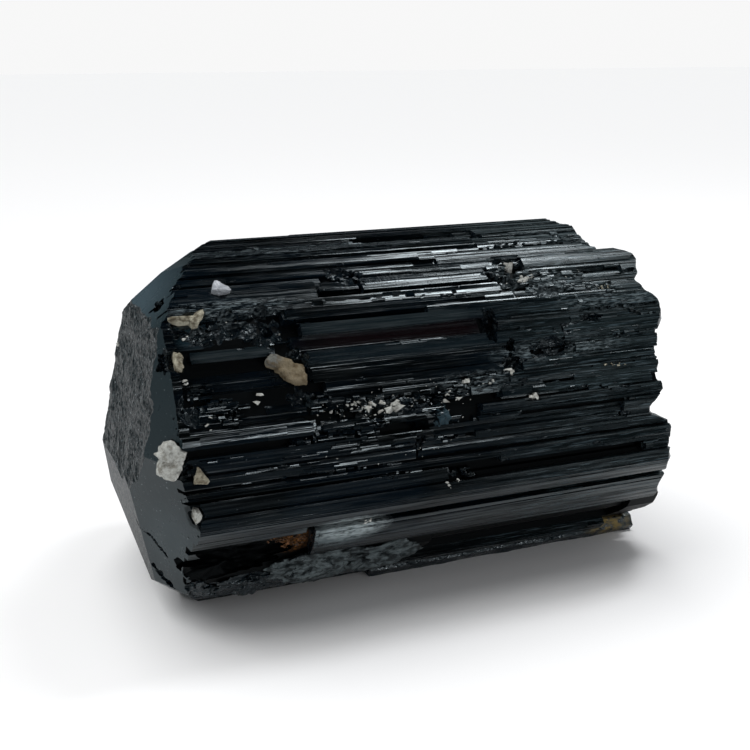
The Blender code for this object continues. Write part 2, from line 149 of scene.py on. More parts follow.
NEAR_RIBS = [
    (70, 84, LEFT, 36, 1.6, ROUGH), (84, 97, LEFT, -5, 1.2, ROUGH), (84, 97, 17, 36, 1.5, PLAIN),
    (97, 108, LEFT, 13.5, 1.6, PLAIN), (97, 108, 13.5, 34, 0.9, PLAIN), (108, 110.5, LEFT, 14, 0.8, PLAIN),
    (108, 110.5, 14, 30, 0.1, PLAIN), (108, 110.5, 30, 35, 0.8, PLAIN), (110.5, 113, LEFT, 5.5, 1.4, PLAIN),
    (110.5, 113, 5.5, 34, 0.9, PLAIN), (113, 116, LEFT, 5, 0.8, PLAIN), (113, 116, 5, 34.5, 1.1, PLAIN),
    (116, 120, LEFT, -14, 0.6, PLAIN), (116, 120.5, -8.5, 14, 1.3, PLAIN),
    (116.5, 121, 19, 40.5, 1.7, SMOOTH), (120, 123.5, LEFT, -15, 1.2, PLAIN),
    (120, 123.5, -15, -8.5, 0.9, PLAIN), (120.5, 126, -8.5, 12, 1.5, SMOOTH),
    (121, 124, 19, 39.7, 1.2, PLAIN), (123.5, 127, LEFT, -15.5, 1.1, PLAIN),
    (124, 128, 35.5, 39.5, 1.5, PLAIN), (126, 128, 14, 37, 0.9, PLAIN), (128.2, 131, LEFT, 13, 1.5, PLAIN),
    (128.2, 131.5, 19, 39, 1.2, PLAIN), (132, 135, -22, 15, 1.4, PLAIN), (131.5, 135, 31.5, 39, 1.5, PLAIN),
    (132, 136, 15, 31.5, 0.9, ROUGH), (135, 137.6, -0.5, 40, 1.3, PLAIN),
    (137.6, 140.4, -20, 40, 1.6, SMOOTH), (140.4, 146, -21.5, 7.7, 0.6, SMOOTH),
    (140.4, 146, 10.3, 40, 1.3, ROUGH), (142.4, 144.8, -36, -24, 1, SMOOTH),
    (146, 149.5, -20, 21, 1.7, SMOOTH), (145.5, 149.5, 21, 39.5, 1.8, SMOOTH),
    (149.5, 151.5, -20, 11, 1, SMOOTH), (149.5, 151.5, 12.3, 38, 1.2, PLAIN),
    (151.5, 154, -20, 15, 1.3, SMOOTH), (151.5, 154, 22, 38, 1.3, PLAIN), (154, 155.5, 13, 38, 0.9, PLAIN),
    (155.5, 158, -18, 10, 1.3, PLAIN), (155.5, 158, 13, 37, 1.3, PLAIN),
    (158, 160.5, LEFT, -30, 0.7, PLAIN), (158, 162, -18, 3, 0.6, PLAIN), (158, 162, 4, 37, 1.2, ROUGH),
    (162, 163.7, 4, 16, 1, PLAIN), (162, 163.7, 21, 37, 1.1, PLAIN), (163.7, 166, 8, 35, 1.4, PLAIN),
    (166, 169.5, LEFT, -20, 1.2, ROUGH), (167.4, 169.5, -20, -12, 1.1, ROUGH),
    (166, 169.5, -10, -3, 1.4, PLAIN), (167.4, 169.5, 5, 37, 1.3, PLAIN), (169.5, 171, 5, 37, 0.8, PLAIN),
    (171, 172.5, 4, 12, 1.1, PLAIN), (171, 172.5, 30, 37, 1.1, PLAIN), (172.5, 177, LEFT, -5.5, 1.6, PLAIN),
    (172.5, 175, -4, 34.7, 1.2, PLAIN), (175.5, 177, 4, 29, 1.4, PLAIN), (172.5, 177, 29, 36.4, 1.9, PLAIN),
    (177.8, 181, LEFT, -5, 1.4, ROUGH), (177, 181, -5, 38.1, 1.1, PLAIN),
    (182.4, 184.5, LEFT, 38.8, 1.3, PLAIN), (183, 186, 8, 38.9, 1.4, PLAIN),
    (185.6, 190, LEFT, 0, 1.4, SMOOTH), (185.6, 190, 33.5, 39, 1.2, PLAIN),
    (190, 198.7, LEFT, 39.2, 1.8, SMOOTH), (198.7, 202.5, LEFT, -21, 0.9, SMOOTH),
    (201.5, 212.5, -20, 39.7, 1.8, SMOOTH), (206, 208, LEFT, -33, 0.4, PLAIN),
    (238, 251, LEFT, 36.5, 1.5, ROUGH), (133, 139.5, LEFT, -33.6, 0.3, SMOOTH),
    (131, 166, LEFT, -37.6, 1.3, SMOOTH), (116.5, 119, 13.5, 19.2, 0.9, ROUGH),
    (147, 157.5, LEFT, -20, 0, PLAIN), (160.5, 166, LEFT, -20.5, 0.1, PLAIN),
]
print(len(NEAR_RIBS), "large ribs on the near side")

# %% [markdown]
# The far side is not seen from the front, but it is finished too. A rule lays its ribs one after
# another: a width, a height and an end are drawn at random from the sizes that the near side shows.
# The random numbers have a fixed seed, so every run gives the same crystal.

# %% The large ribs on the far side
BACK_FROM, BACK_TO = 250.0, 428.0
REST_FACE = (252.0, 288.0)
BACK_WIDTHS = (2.2, 3.2, 4.5, 6.5, 9.0)
BACK_LEVELS = (0.9, 1.2, 1.4, 1.6, 1.8)
BACK_GROOVE = (0.4, 1.6)
BACK_RIGHT = (31.0, 39.0)
BACK_STEP_SHARE = 0.45
BACK_STEP_AT = (-25.0, 22.0)
BACK_STEP_DROP = (0.4, 0.9)


def lay_far_ribs(rng):
    """Rib rows for the far side and the underside."""
    rows = []
    angle = BACK_FROM
    while angle < BACK_TO - BACK_WIDTHS[0]:
        if REST_FACE[0] - BACK_WIDTHS[-1] < angle < REST_FACE[0]:
            rows.append((REST_FACE[0], REST_FACE[1], LEFT, rng.uniform(*BACK_RIGHT), RIB_HEIGHT, SMOOTH))
            angle = REST_FACE[1] + rng.uniform(*BACK_GROOVE)
        width = min(rng.choice(BACK_WIDTHS), BACK_TO - angle)
        level = rng.choice(BACK_LEVELS)
        right = rng.uniform(*BACK_RIGHT)
        finish = SMOOTH if width > 6.0 else PLAIN
        if rng.random() < BACK_STEP_SHARE:
            step = rng.uniform(*BACK_STEP_AT)
            rows.append((angle, angle + width, LEFT, step, level, finish))
            rows.append((angle, angle + width, step, right, level - rng.uniform(*BACK_STEP_DROP), finish))
        else:
            rows.append((angle, angle + width, LEFT, right, level, finish))
        angle += width + rng.uniform(*BACK_GROOVE)
    return rows


far_rows = lay_far_ribs(random.Random(7))
print(len(far_rows), "large ribs on the far side")

# %% [markdown]
# ## Fine striations
# Seen close, the top of every rib is a stack of much finer steps, 0.3 to 1.1 mm wide. Each is a
# long thin blade that starts and stops where it likes, so rib ends look splintered. A blade is only
# a point with four numbers: its length, its width, the way it faces and its height. Geometry Nodes
# will put a small prism on each point.

# %% A list of blades
BLADE_WIDTHS = (0.28, 0.4, 0.55, 0.8, 1.1)
SMOOTH_WIDTHS = (0.7, 1.1, 1.6)
BLADE_ROOT = 1.6          # depth of a blade into the crystal (mm)
RIB_ROOT = 3.2
GAP_SHARE = 0.16          # share of the blades that are missing down to the layer below
STEP_SHARE = 0.55         # share of the blades that are broken into two or three lengths
LEAN_SPREAD = 4.0         # how much the blades' tops differ in direction (degrees)
SMOOTH_SPREAD = 0.8
CROWN_LEAN = 11.0         # a rib's top turns this much from its middle to its edge (degrees)
CROWN_DROP = 0.10         # and falls by this share of its width
# Growth only makes facets along the crystal's own directions, 30 degrees apart, so narrow facets
# far apart on the curved side still face one way and flash together.
GROWTH_DIRECTIONS = [2.0 + 30.0 * step for step in range(12)]
SNAP_SHARE = 0.28         # share of the narrow blades that face a growth direction
BUNDLE = 3                # blades that end together
CHUNK = 1.4               # width of the plain bars under the blades (mm)
GAP_DEPTH = 0.45          # where a blade is missing, the bar below it shows (mm)
OVERLAP = 1.06            # neighbours overlap a little, so no slits open between them
SHORTEST = 0.8            # mm
POINTED_END = -42.0       # blades break only to the right of this (mm)
RAGGED = 0.7              # a bundle stops up to this much short of the rib's end (mm)


# %% Cover a rib with blades
blades = []


def add_blade(x_from, x_to, angle, level, width, root, facing):
    """Note one blade: where its top is, how long and wide it is, and the way it faces."""
    middle = on_prism(0.5 * (x_from + x_to), angle, level)
    blades.append((middle, x_to - x_from, width, root, facing))


def growth_direction(facing, rng):
    """The growth direction nearest to the way a facet faces, or the next one."""
    wanted = facing + rng.choice((-22.0, 0.0, 0.0, 22.0))
    nearest = min(GROWTH_DIRECTIONS, key=lambda way: abs((way - wanted + 180.0) % 360.0 - 180.0))
    return nearest + rng.gauss(0.0, 1.2)


def striate(row, rng):
    """Cover one large rib with blades."""
    angle_from, angle_to, x_from, x_to, level, step = row
    span = angle_to - angle_from
    width = span * MM_PER_DEGREE
    middle = 0.5 * (angle_from + angle_to)
    drop = min(CROWN_DROP * width, 0.35)
    under = 1.1 * step + (GAP_DEPTH if step != SMOOTH else 0.0)
    chunks = max(1, round(width / CHUNK))
    for chunk in range(chunks):
        at = angle_from + span * (chunk + 0.5) / chunks
        crown = 2.0 * (at - middle) / span
        add_blade(x_from, x_to - 0.2, at, level - under - drop * crown * crown, width / chunks * 1.05,
                  RIB_ROOT, face_normal(at) + 0.7 * CROWN_LEAN * crown)
    angle = angle_from
    widths = SMOOTH_WIDTHS if step == SMOOTH else BLADE_WIDTHS
    laid = 0
    ends = [x_from, x_to]
    while angle < angle_to:
        blade = rng.choice(widths)
        turned = blade / MM_PER_DEGREE
        at = min(angle + 0.5 * turned, angle_to - 0.2 * turned)
        if laid % BUNDLE == 0:
            start = x_from + (rng.random() ** 2 * RAGGED if x_from > LEFT else 0.0)
            ends = [start, x_to - rng.random() ** 2 * RAGGED]
        laid += 1
        breaks = []
        if step != SMOOTH and rng.random() < STEP_SHARE:
            count = rng.choice((1, 1, 2, 3))
            breaks = sorted(rng.uniform(max(ends[0], POINTED_END), ends[1]) for _ in range(count))
        stops = [ends[0]] + breaks + [ends[1] - rng.random() * 0.15]
        crown = 2.0 * (at - middle) / span
        for first, last in zip(stops, stops[1:]):
            if last - first < SHORTEST:
                continue
            lift = step * rng.uniform(-1.0, 0.9) - drop * crown * crown
            if step != SMOOTH and rng.random() < GAP_SHARE:
                lift -= 0.5
            spread = LEAN_SPREAD if step != SMOOTH else SMOOTH_SPREAD
            facing = face_normal(at) + CROWN_LEAN * crown + rng.gauss(0.0, spread)
            if blade < 0.6 and rng.random() < SNAP_SHARE:
                facing = growth_direction(face_normal(at), rng)
            add_blade(first, last, at, level + lift, blade * OVERLAP, BLADE_ROOT, facing)
        angle += turned


# %% All the ribs
rng = random.Random(19)
for row in NEAR_RIBS + far_rows:
    striate(row, rng)
print(len(blades), "blades")

# %% [markdown]
# The core fills the inside under the ribs. The foot is the part of the base that shows below the
# dark channel. Both start as plain prisms with an outline of their own.

# %% A prism from an outline, and the core
CORE_INSET = 2.0
CORE_STEP = 6
CORE_RIGHT = 42.2
FOOT_OUTLINE = [(-11.8, 0.0), (-12.7, 1.3), (-11.9, 3.0), (-8.0, 5.0), (-5.0, 4.0), (-5.0, 0.0)]
FOOT_ENDS = (-6.0, FOOT_RIGHT - 0.05)

workshop = bpy.data.collections.new("workshop")
bpy.context.scene.collection.children.link(workshop)


def keep_mesh(name, bm, material=None):
    """Turn a bmesh into a workshop object, used only to make others."""
    bmesh.ops.recalc_face_normals(bm, faces=bm.faces)
    mesh = bpy.data.meshes.new(name)
    bm.to_mesh(mesh)
    bm.free()
    if material:
        mesh.materials.append(material)
    obj = bpy.data.objects.new(name, mesh)
    workshop.objects.link(obj)
    return obj


def outline_prism(bm, outline, x_from, x_to):
    """Add a closed prism along X from an outline of (y, z) points in mm around the axis."""
    ring = [bm.verts.new((AXIS + Vector((x_from, y, z))) * MM) for y, z in outline]
    face = bm.faces.new(ring)
    lifted = bmesh.ops.extrude_face_region(bm, geom=[face])
    top = [item for item in lifted["geom"] if isinstance(item, bmesh.types.BMVert)]
    bmesh.ops.translate(bm, verts=top, vec=((x_to - x_from) * MM, 0.0, 0.0))


def shelve(obj, shelf, material=None):
    """Move a workshop object to another collection, and give it a finish if there is one."""
    workshop.objects.unlink(obj)
    shelf.objects.link(obj)
    if material:
        obj.data.materials.append(material)
    return obj


# %% The core
core_mesh = bmesh.new()
core_outline = []
for angle in range(0, 360, CORE_STEP):
    spot = outward_direction(angle) * (section_radius(angle) - CORE_INSET)
    core_outline.append((spot.y, spot.z))
outline_prism(core_mesh, core_outline, LEFT, CORE_RIGHT)
core = keep_mesh("core", core_mesh)


# %% The foot, with a broken surface
FOOT_STEP, FOOT_BITE = 0.45, 0.32   # mm
FOOT_DRAW = 2.4           # its pits are this much longer than wide
FOOT_PITS = (1.6, 1.1)    # width of the soft and the sharp pits (mm)


def rough_bar(outline, x_from, x_to, step, bite, seed):
    """A bar along X with a broken surface: its outline is stepped finely, then eaten by noise."""
    fine = []
    for (y, z), (next_y, next_z) in zip(outline, outline[1:] + outline[:1]):
        pieces_here = max(1, round(math.hypot(next_y - y, next_z - z) / step))
        fine += [(y + (next_y - y) * k / pieces_here, z + (next_z - z) * k / pieces_here)
                 for k in range(pieces_here)]
    middle = Vector((0.0, sum(y for y, _ in fine) / len(fine), sum(z for _, z in fine) / len(fine)))
    bm = bmesh.new()
    rings = []
    count = round((x_to - x_from) / step)
    for row in range(count + 1):
        ring = []
        for y, z in fine:
            spot = Vector((x_from + (x_to - x_from) * row / count, y, z))
            inward = (middle - Vector((0.0, y, z))).normalized()
            drawn = Vector((spot.x / FOOT_DRAW, spot.y, spot.z))
            depth = 0.6 + noise.noise(drawn / FOOT_PITS[0] + Vector((seed, 0.0, 0.0)))
            depth += 0.7 * noise.voronoi(drawn / FOOT_PITS[1] + Vector((seed, 0.0, 0.0)))[0][0]
            ring.append(bm.verts.new((AXIS + spot + inward * bite * max(depth, 0.0)) * MM))
        rings.append(ring)
    bm.faces.new(rings[0])
    bm.faces.new(list(reversed(rings[-1])))
    for first, second in zip(rings, rings[1:]):
        for side in range(len(fine)):
            other = (side + 1) % len(fine)
            bm.faces.new((first[side], first[other], second[other], second[side]))
    return bm


foot_outline = [(y, z - AXIS_HEIGHT) for y, z in FOOT_OUTLINE]
foot = keep_mesh("foot", rough_bar(foot_outline, *FOOT_ENDS, FOOT_STEP, FOOT_BITE, 4.0))
print("core and foot:", len(core.data.vertices), len(foot.data.vertices), "corners")

# %% [markdown]
# ## Blanks and the union
# A blade's top is rarely a clean plane: it may be flat, have a low ridge, lean to one side or end in
# a slanted break. A handful of blanks cover these cases, each one unit long and wide, and the tree
# picks one for each point. Joining more than a thousand closed solids by hand would take long, so
# one Mesh Boolean node does it, with the Manifold solver, which is fast and leaves a closed skin.

# %% Blade blanks
# profile: (across, height) pairs of the top, from one side to the other; skew: slant of the two ends
BLANKS = [
    ([(-0.5, 0.0), (0.5, 0.0)], (0.0, 0.0)),
    ([(-0.5, -0.02), (0.5, 0.0)], (0.01, 0.0)),
    ([(-0.5, -0.05), (-0.1, 0.0), (0.5, -0.03)], (0.0, 0.012)),
    ([(-0.5, 0.0), (0.1, 0.0), (0.5, -0.06)], (-0.008, 0.0)),
    ([(-0.5, -0.04), (-0.2, 0.0), (0.25, 0.0), (0.5, -0.05)], (0.006, -0.01)),
    ([(-0.5, 0.0), (0.2, -0.03), (0.5, 0.0)], (0.0, 0.0)),
]
blank_shelf = bpy.data.collections.new("blade_blanks")
for index, (profile, skew) in enumerate(BLANKS):
    blank = bmesh.new()
    section = [(-0.42, -1.0)] + profile + [(0.42, -1.0)]
    rings = []
    for side, slant in zip((-0.5, 0.5), skew):
        rings.append([blank.verts.new((side + slant * height, across, height)) for across, height in section])
    blank.faces.new(rings[0])
    blank.faces.new(list(reversed(rings[1])))
    for corner in range(len(section)):
        following = (corner + 1) % len(section)
        blank.faces.new((rings[0][corner], rings[0][following], rings[1][following], rings[1][corner]))
    shelve(keep_mesh(f"blade_blank_{index}", blank), blank_shelf)


# %% Helpers for node trees
def new_tree(name, inputs):
    """A Geometry Nodes tree with a geometry in and out and some named inputs."""
    tree = bpy.data.node_groups.new(name, "GeometryNodeTree")
    tree.interface.new_socket("Geometry", in_out="INPUT", socket_type="NodeSocketGeometry")
    for label, kind in inputs.items():
        tree.interface.new_socket(label, in_out="INPUT", socket_type="NodeSocket" + kind)
    tree.interface.new_socket("Geometry", in_out="OUTPUT", socket_type="NodeSocketGeometry")
    return tree


def add_node(tree, kind, settings=None, **links):
    """Add a node. Settings are its properties; links give each input a value or a socket."""
    node = tree.nodes.new(kind)
    for key, value in (settings or {}).items():
        setattr(node, key, value)
    for key, value in links.items():
        label = key.replace("_", " ")
        target = node.inputs[int(key[1:])] if key[1:].isdigit() else node.inputs[label]
        if isinstance(value, bpy.types.NodeSocket):
            tree.links.new(value, target)
        else:
            target.default_value = value
    return node


def blanks_on_points(tree, given, shelf_input, kinds, turns, sizes):
    """Put one of the blanks of a shelf on each point, turned and sized by numbers noted on the point."""
    noted = {field: add_node(tree, "GeometryNodeInputNamedAttribute", {"data_type": "FLOAT"}, Name=field)
             for field in turns + sizes}
    turn, size = [add_node(tree, "ShaderNodeCombineXYZ", None, **{
        axis: noted[field].outputs["Attribute"] for axis, field in zip("XYZ", fields)}).outputs["Vector"]
        for fields in (turns, sizes)]
    shelf = add_node(tree, "GeometryNodeCollectionInfo", None, Collection=given.outputs[shelf_input],
                     Separate_Children=True, Reset_Children=True)
    pick = add_node(tree, "FunctionNodeRandomValue", {"data_type": "INT"}, i4=0, i5=kinds - 1,
                    Seed=given.outputs["Seed"])
    placed = add_node(tree, "GeometryNodeInstanceOnPoints", None, Points=given.outputs["Geometry"],
                      Instance=shelf.outputs["Instances"], Pick_Instance=True, Instance_Index=pick.outputs[2],
                      Rotation=turn, Scale=size)
    return placed.outputs["Instances"]


def run_tree(points, tree, values, name):
    """Run a tree on an object and return the result as a plain mesh object."""
    step = points.modifiers.new(tree.name, "NODES")
    step.node_group = tree
    for item in tree.interface.items_tree:
        if item.item_type == "SOCKET" and item.in_out == "INPUT" and item.name in values:
            step[item.identifier] = values[item.name]
    evaluated = points.evaluated_get(bpy.context.evaluated_depsgraph_get())
    mesh = bpy.data.meshes.new_from_object(evaluated)
    points.modifiers.clear()
    mesh.name = name
    obj = bpy.data.objects.new(name, mesh)
    workshop.objects.link(obj)
    return obj


def point_cloud(name, rows, fields):
    """Loose vertices at positions in mm, with one number for each field."""
    mesh = bpy.data.meshes.new(name)
    mesh.from_pydata([row[0] * MM for row in rows], [], [])
    for column, field in enumerate(fields, start=1):
        layer = mesh.attributes.new(field, "FLOAT", "POINT")
        layer.data.foreach_set("value", [float(row[column]) for row in rows])
    obj = bpy.data.objects.new(name, mesh)
    workshop.objects.link(obj)
    return obj


# %% Lay the blades on the core
lay_blades = new_tree("lay_blades", {"Core": "Object", "Blanks": "Collection", "Solids": "Collection",
                                     "Seed": "Int", "Break Finish": "Material"})
given = add_node(lay_blades, "NodeGroupInput")
laid = blanks_on_points(lay_blades, given, "Blanks", len(BLANKS), ["turn"], ["length", "width", "root"])
core_info = add_node(lay_blades, "GeometryNodeObjectInfo", None, Object=given.outputs["Core"])
solid_info = add_node(lay_blades, "GeometryNodeCollectionInfo", None, Collection=given.outputs["Solids"],
                      Separate_Children=True)
union = add_node(lay_blades, "GeometryNodeMeshBoolean", {"operation": "UNION", "solver": "MANIFOLD"})
for part in (core_info.outputs["Geometry"], laid, solid_info.outputs["Instances"]):
    lay_blades.links.new(part, union.inputs["Mesh 2"])
real = add_node(lay_blades, "GeometryNodeRealizeInstances", None, Geometry=union.outputs["Mesh"])
# a blade's two ends, which face along the axis, are breaks
normal_parts = add_node(lay_blades, "ShaderNodeSeparateXYZ")
lay_blades.links.new(add_node(lay_blades, "GeometryNodeInputNormal").outputs[0], normal_parts.inputs[0])
steepness = add_node(lay_blades, "ShaderNodeMath", {"operation": "ABSOLUTE"}, i0=normal_parts.outputs["X"])
is_end = add_node(lay_blades, "FunctionNodeCompare", {"operation": "GREATER_THAN"}, i0=steepness.outputs[0])
is_end.inputs[1].default_value = 0.6
dressed = add_node(lay_blades, "GeometryNodeSetMaterial", None, Geometry=real.outputs["Geometry"],
                   Selection=is_end.outputs[0], Material=given.outputs["Break Finish"])
add_node(lay_blades, "NodeGroupOutput", None, Geometry=dressed.outputs["Geometry"])
print("tree lay_blades has", len(lay_blades.nodes), "nodes")

# %% [markdown]
# ## Rubble
# Where a rib has crumbled, the crystal shows a belt of small splinters and blocks still fast in
# place. They are the same idea as the blades, only short and turned at random, so they join the
# same list: each belt is given by where it lies, and the splinters are drawn inside it.

# %% Splinters in the crumbled belts
# (from x, to x, angle at the left end, angle at the right end, half width in degrees, level, how many)
BELTS = [
    (-21, -6, 161, 165, 2.6, 0.7, 90), (-8, 4, 164, 162.5, 2.4, 0.7, 80), (3, 13, 162, 156.5, 1.6, 0.9, 50),
    (10, 30, 152.5, 153.5, 1.2, 1, 60), (13, 29, 121, 132, 3.4, 1.2, 120), (18, 34, 132, 135, 1.6, 1.2, 60),
    (-12, -7, 117, 119, 2, 0.9, 26), (-20, 5, 129, 131.5, 1, 1.3, 40), (1, 9, 130.5, 131.5, 1.4, 1.2, 20),
    (-37, -20, 126.5, 130, 1.6, 1.2, 60), (-22, -18, 128, 140, 2, 0.6, 16),
    (10, 14, 140, 147, 1.5, 0.8, 12), (-36, -20, 131.5, 142, 2.2, 0.1, 60),
    (-24, -10, 171.5, 170.5, 1.4, 1.1, 60), (-12, 2, 176.5, 176.5, 1.2, 1, 40),
    (-34, -8, 181, 181.5, 1, 0.9, 70), (0, 9, 188.5, 188, 1.2, 1.2, 24), (28, 33, 100, 112, 5, 0.9, 40),
    (32, 37, 120, 140, 8, 0.5, 40), (31, 35, 150, 180, 12, 0.4, 40), (-30, 5, 96, 98, 1.6, 1, 90),
    (14, 32, 109, 109.5, 1, 0.9, 40), (10, 34, 164.5, 166, 1.6, 1.1, 60), (-37, -30, 150, 165, 4, 0.6, 40),
    (-12, 0, 186, 186.5, 0.8, 1.1, 24), (22, 38, 138, 143, 3, 1.4, 60), (14, 36, 146.5, 150, 1.2, 1.7, 50),
]
SPLINTER = (0.35, 2.2)    # length (mm)
THICKNESS = (0.2, 0.75)   # width (mm)
SPLINTER_ROOT = 1.3       # mm
SPLINTER_SPREAD = 22.0    # degrees

for x_from, x_to, first, last, spread, level, count in BELTS:
    for _ in range(count):
        along = rng.random()
        x = x_from + (x_to - x_from) * along
        angle = first + (last - first) * along + rng.uniform(-spread, spread)
        length = SPLINTER[0] + (SPLINTER[1] - SPLINTER[0]) * rng.random() ** 2
        top = level + rng.uniform(-0.5, 0.35)
        where = on_prism(x, angle, min(top, RIB_HEIGHT - 0.05))
        width = rng.uniform(*THICKNESS)
        facing = face_normal(angle) + rng.gauss(0.0, SPLINTER_SPREAD)
        blades.append((where, length, width, SPLINTER_ROOT, facing))

# Facets that mirror a light lie side by side in small bundles and show as silvery streaks. The key
# is the way they face, a row is (from x, to x, angle, level, width of the bundle in mm).
STREAKS = {
    122.5: [
        (-10, 7, 146.2, 1.8, 0.4), (-13, -5.5, 172.8, 1.64, 0.3), (-9, -1, 166.6, 1.5, 0.6),
        (-8, -1, 168.4, 1.5, 0.3), (-12, 14, 128.6, 1.6, 0.25), (-6, 3, 170, 1.2, 0.3),
        (5, 12, 131.6, 1.4, 0.2), (-26, 10, 104, 1.6, 0.2), (14, 34, 117.5, 1.75, 0.2),
        (20, 38, 136.5, 1.4, 0.2), (22, 38, 148.5, 1.85, 0.2), (14, 36, 156.5, 1.4, 0.2),
    ],
    165.5: [
        (-19, -11.5, 174.4, 1.74, 1), (-9.5, -3, 173.6, 1.74, 1.1), (-16, -5.8, 176.3, 1.7, 0.5),
        (-27, -19, 175.6, 1.7, 0.7), (-36, -24, 168, 1.3, 0.5), (-36.5, -29, 159.6, 0.8, 0.6),
        (-24, -13, 179.6, 1.5, 0.4), (-16, -5, 168.2, 1.5, 0.5), (-31, -20, 178, 1.5, 0.4),
        (-37, -31, 173.4, 1.7, 0.5), (-28, -13, 182.8, 1.4, 0.3), (-15, -9, 164.6, 1, 0.5),
        (-21, -15, 171.8, 1.5, 0.5),
    ],
}
FACET = (0.9, 4.5)        # length (mm)
LANE = 0.2                # distance between facets side by side (mm)
for facing, rows in STREAKS.items():
    for x_from, x_to, angle, level, width in rows:
        for lane in range(max(1, round(width / LANE))):
            at = angle + (LANE * (lane + 0.5) - 0.5 * width) / MM_PER_DEGREE
            x = x_from + rng.random() * 0.3 * (x_to - x_from)
            end = x_to - rng.random() * 0.3 * (x_to - x_from)
            while x < end:
                length = rng.uniform(*FACET)
                add_blade(x, min(x + length, x_to), at, level + rng.uniform(-0.03, 0.03),
                          LANE * rng.uniform(0.6, 1.1), BLADE_ROOT, facing + rng.gauss(0.0, 1.3))
                x += length * rng.uniform(0.9, 1.25)

# On top a ledge broke out. It left a rough floor and steps at both ends: rows as in NEAR_RIBS.
BROKEN_LEDGE = [
    (84, 97, -5.5, 17.5, 0.2, ROUGH), (84, 87.5, 9.5, 17.5, 0.9, ROUGH), (87.5, 91, 13.5, 17.5, 1.2, ROUGH),
    (94, 97, 15, 17.5, 0.8, ROUGH), (92.5, 97, -5.5, -0.5, 0.7, ROUGH), (88.5, 91.5, -5.5, 2.5, 0.5, ROUGH),
    (84, 86.5, -5.5, -3, 1, ROUGH),
]
ledge_rng = random.Random(23)
for row in BROKEN_LEDGE:
    striate(row, ledge_rng)
print(len(blades), "blades with the splinters, the streaks and the broken ledge")

# %% [markdown]
# ## Rough lumps
# The base carries lumps of schorl that broke off unevenly. A lump is a ball stretched to its length,
# width and depth and roughened three times: swells, dished facets, then grit. The same function
# makes the cutters of the hollows, because a hollow's wall is the print of such a lump.

# %% Rough lumps fused to the base
LUMPS = [
    (-18.5, 222.5, -0.2, 7, 3.6, 2), (-38, 227, -0.8, 4, 4.6, 2.2), (-33.5, 236, 0.1, 4.5, 3, 1.5),
    (-27, 231, 0, 6, 3.6, 1.8), (-8, 226, -0.3, 7, 3.4, 1.8), (-15, 233, 0.3, 8, 3, 1.5),
    (-1.5, 169, 0.1, 1.7, 1.7, 1.5),
]
DARK_SOLIDS = ("foot", "lump_1", "lump_2", "lump_3")
LUMP_RELIEF = 0.22        # swells, as a share of the lump's size
LUMP_GRANULE, LUMP_BITE = 0.8, 0.5
GRANULE, BITE = 1.1, 0.28  # size and depth of the dishes in a hollow's wall (mm)
SWELL_SCALES = (1.9, 4.3)
FINE_DISHES = 2.6         # the small dishes are this much smaller than the large ones


def broken_lump(name, numbers, relief, seed, detail, grow=0.0, turn=0.0, granule=GRANULE, bite=BITE):
    """A closed lump with a broken surface: large swells, then dished facets, then fine grit."""
    x, angle, level, length, width, depth = numbers
    outward = outward_direction(angle)
    along = Vector((1.0, 0.0, 0.0))
    frame_of_lump = Matrix((along, outward.cross(along), outward)).transposed()
    spin = Matrix.Rotation(math.radians(turn), 3, "Z")
    offset = Vector((seed * 3.7, seed * 1.3, seed * 2.1))
    centre = on_prism(x, angle, level)
    size_of_lump = Vector((length + grow, width + grow, depth + grow))
    bm = bmesh.new()
    bmesh.ops.create_icosphere(bm, subdivisions=detail, radius=1.0)
    for vert in bm.verts:
        direction = vert.co.normalized()
        wide, narrow = [noise.noise(direction * scale + offset) for scale in SWELL_SCALES]
        swell = 1.0 + relief * (2.0 * wide + narrow)
        local = Vector([direction[i] * size_of_lump[i] for i in range(3)]) * swell
        spot = local / granule + offset
        dish = noise.voronoi(spot)[0][0] + 0.45 * noise.voronoi(spot * FINE_DISHES)[0][0]
        local -= local.normalized() * bite * (dish - 0.45)
        vert.co = (centre + frame_of_lump @ (spin @ local)) * MM
    return keep_mesh(name, bm)


solid_shelf = bpy.data.collections.new("solids")
shelve(foot, solid_shelf)
for index, numbers in enumerate(LUMPS):
    lump = broken_lump(f"lump_{index}", numbers, LUMP_RELIEF, index + 21, 5 if numbers[3] > 3.0 else 4,
                       granule=LUMP_GRANULE, bite=LUMP_BITE)
    shelve(lump, solid_shelf)

# %% [markdown]
# A cut face takes the material of the solid that cut it. So the finishes are made now, still empty,
# and given to the blades, the lumps and the cutters. What they look like comes later.

# %% Empty finishes, then the union
def bare_material(name):
    """A new node material with no nodes but its output."""
    material = bpy.data.materials.new(name)
    material.use_nodes = True
    for node in list(material.node_tree.nodes):
        if node.type != "OUTPUT_MATERIAL":
            material.node_tree.nodes.remove(node)
    return material


schorl_prism = bare_material("schorl_prism_faces")
schorl_broken = bare_material("schorl_broken")
schorl_end = bare_material("schorl_end_faces")
schorl_etched = bare_material("schorl_etched_end")
schorl_weathered = bare_material("schorl_weathered")
# the grooves' finish is painted shade: near black with little gloss, for the shaded depths
schorl_painted_shade = bare_material("painted_shade_schorl")

for obj in solid_shelf.objects:
    obj.data.materials.append(schorl_broken if obj.name in DARK_SOLIDS else schorl_weathered)
# the core, which shows between the ribs, takes the painted shade of the grooves
core.data.materials.append(schorl_painted_shade)
for obj in blank_shelf.objects:
    obj.data.materials.append(schorl_prism)

rows = [(where, length * MM, width * MM, root * MM, math.radians(facing - 90.0))
        for where, length, width, root, facing in blades]
points = point_cloud("blade_points", rows, ["length", "width", "root", "turn"])
ribbed = run_tree(points, lay_blades, {"Core": core, "Blanks": blank_shelf, "Solids": solid_shelf, "Seed": 5,
                                       "Break Finish": schorl_broken}, "ribbed_body")
print("ribbed body:", len(ribbed.data.polygons), "faces, materials",
      [m.name if m else None for m in ribbed.data.materials])

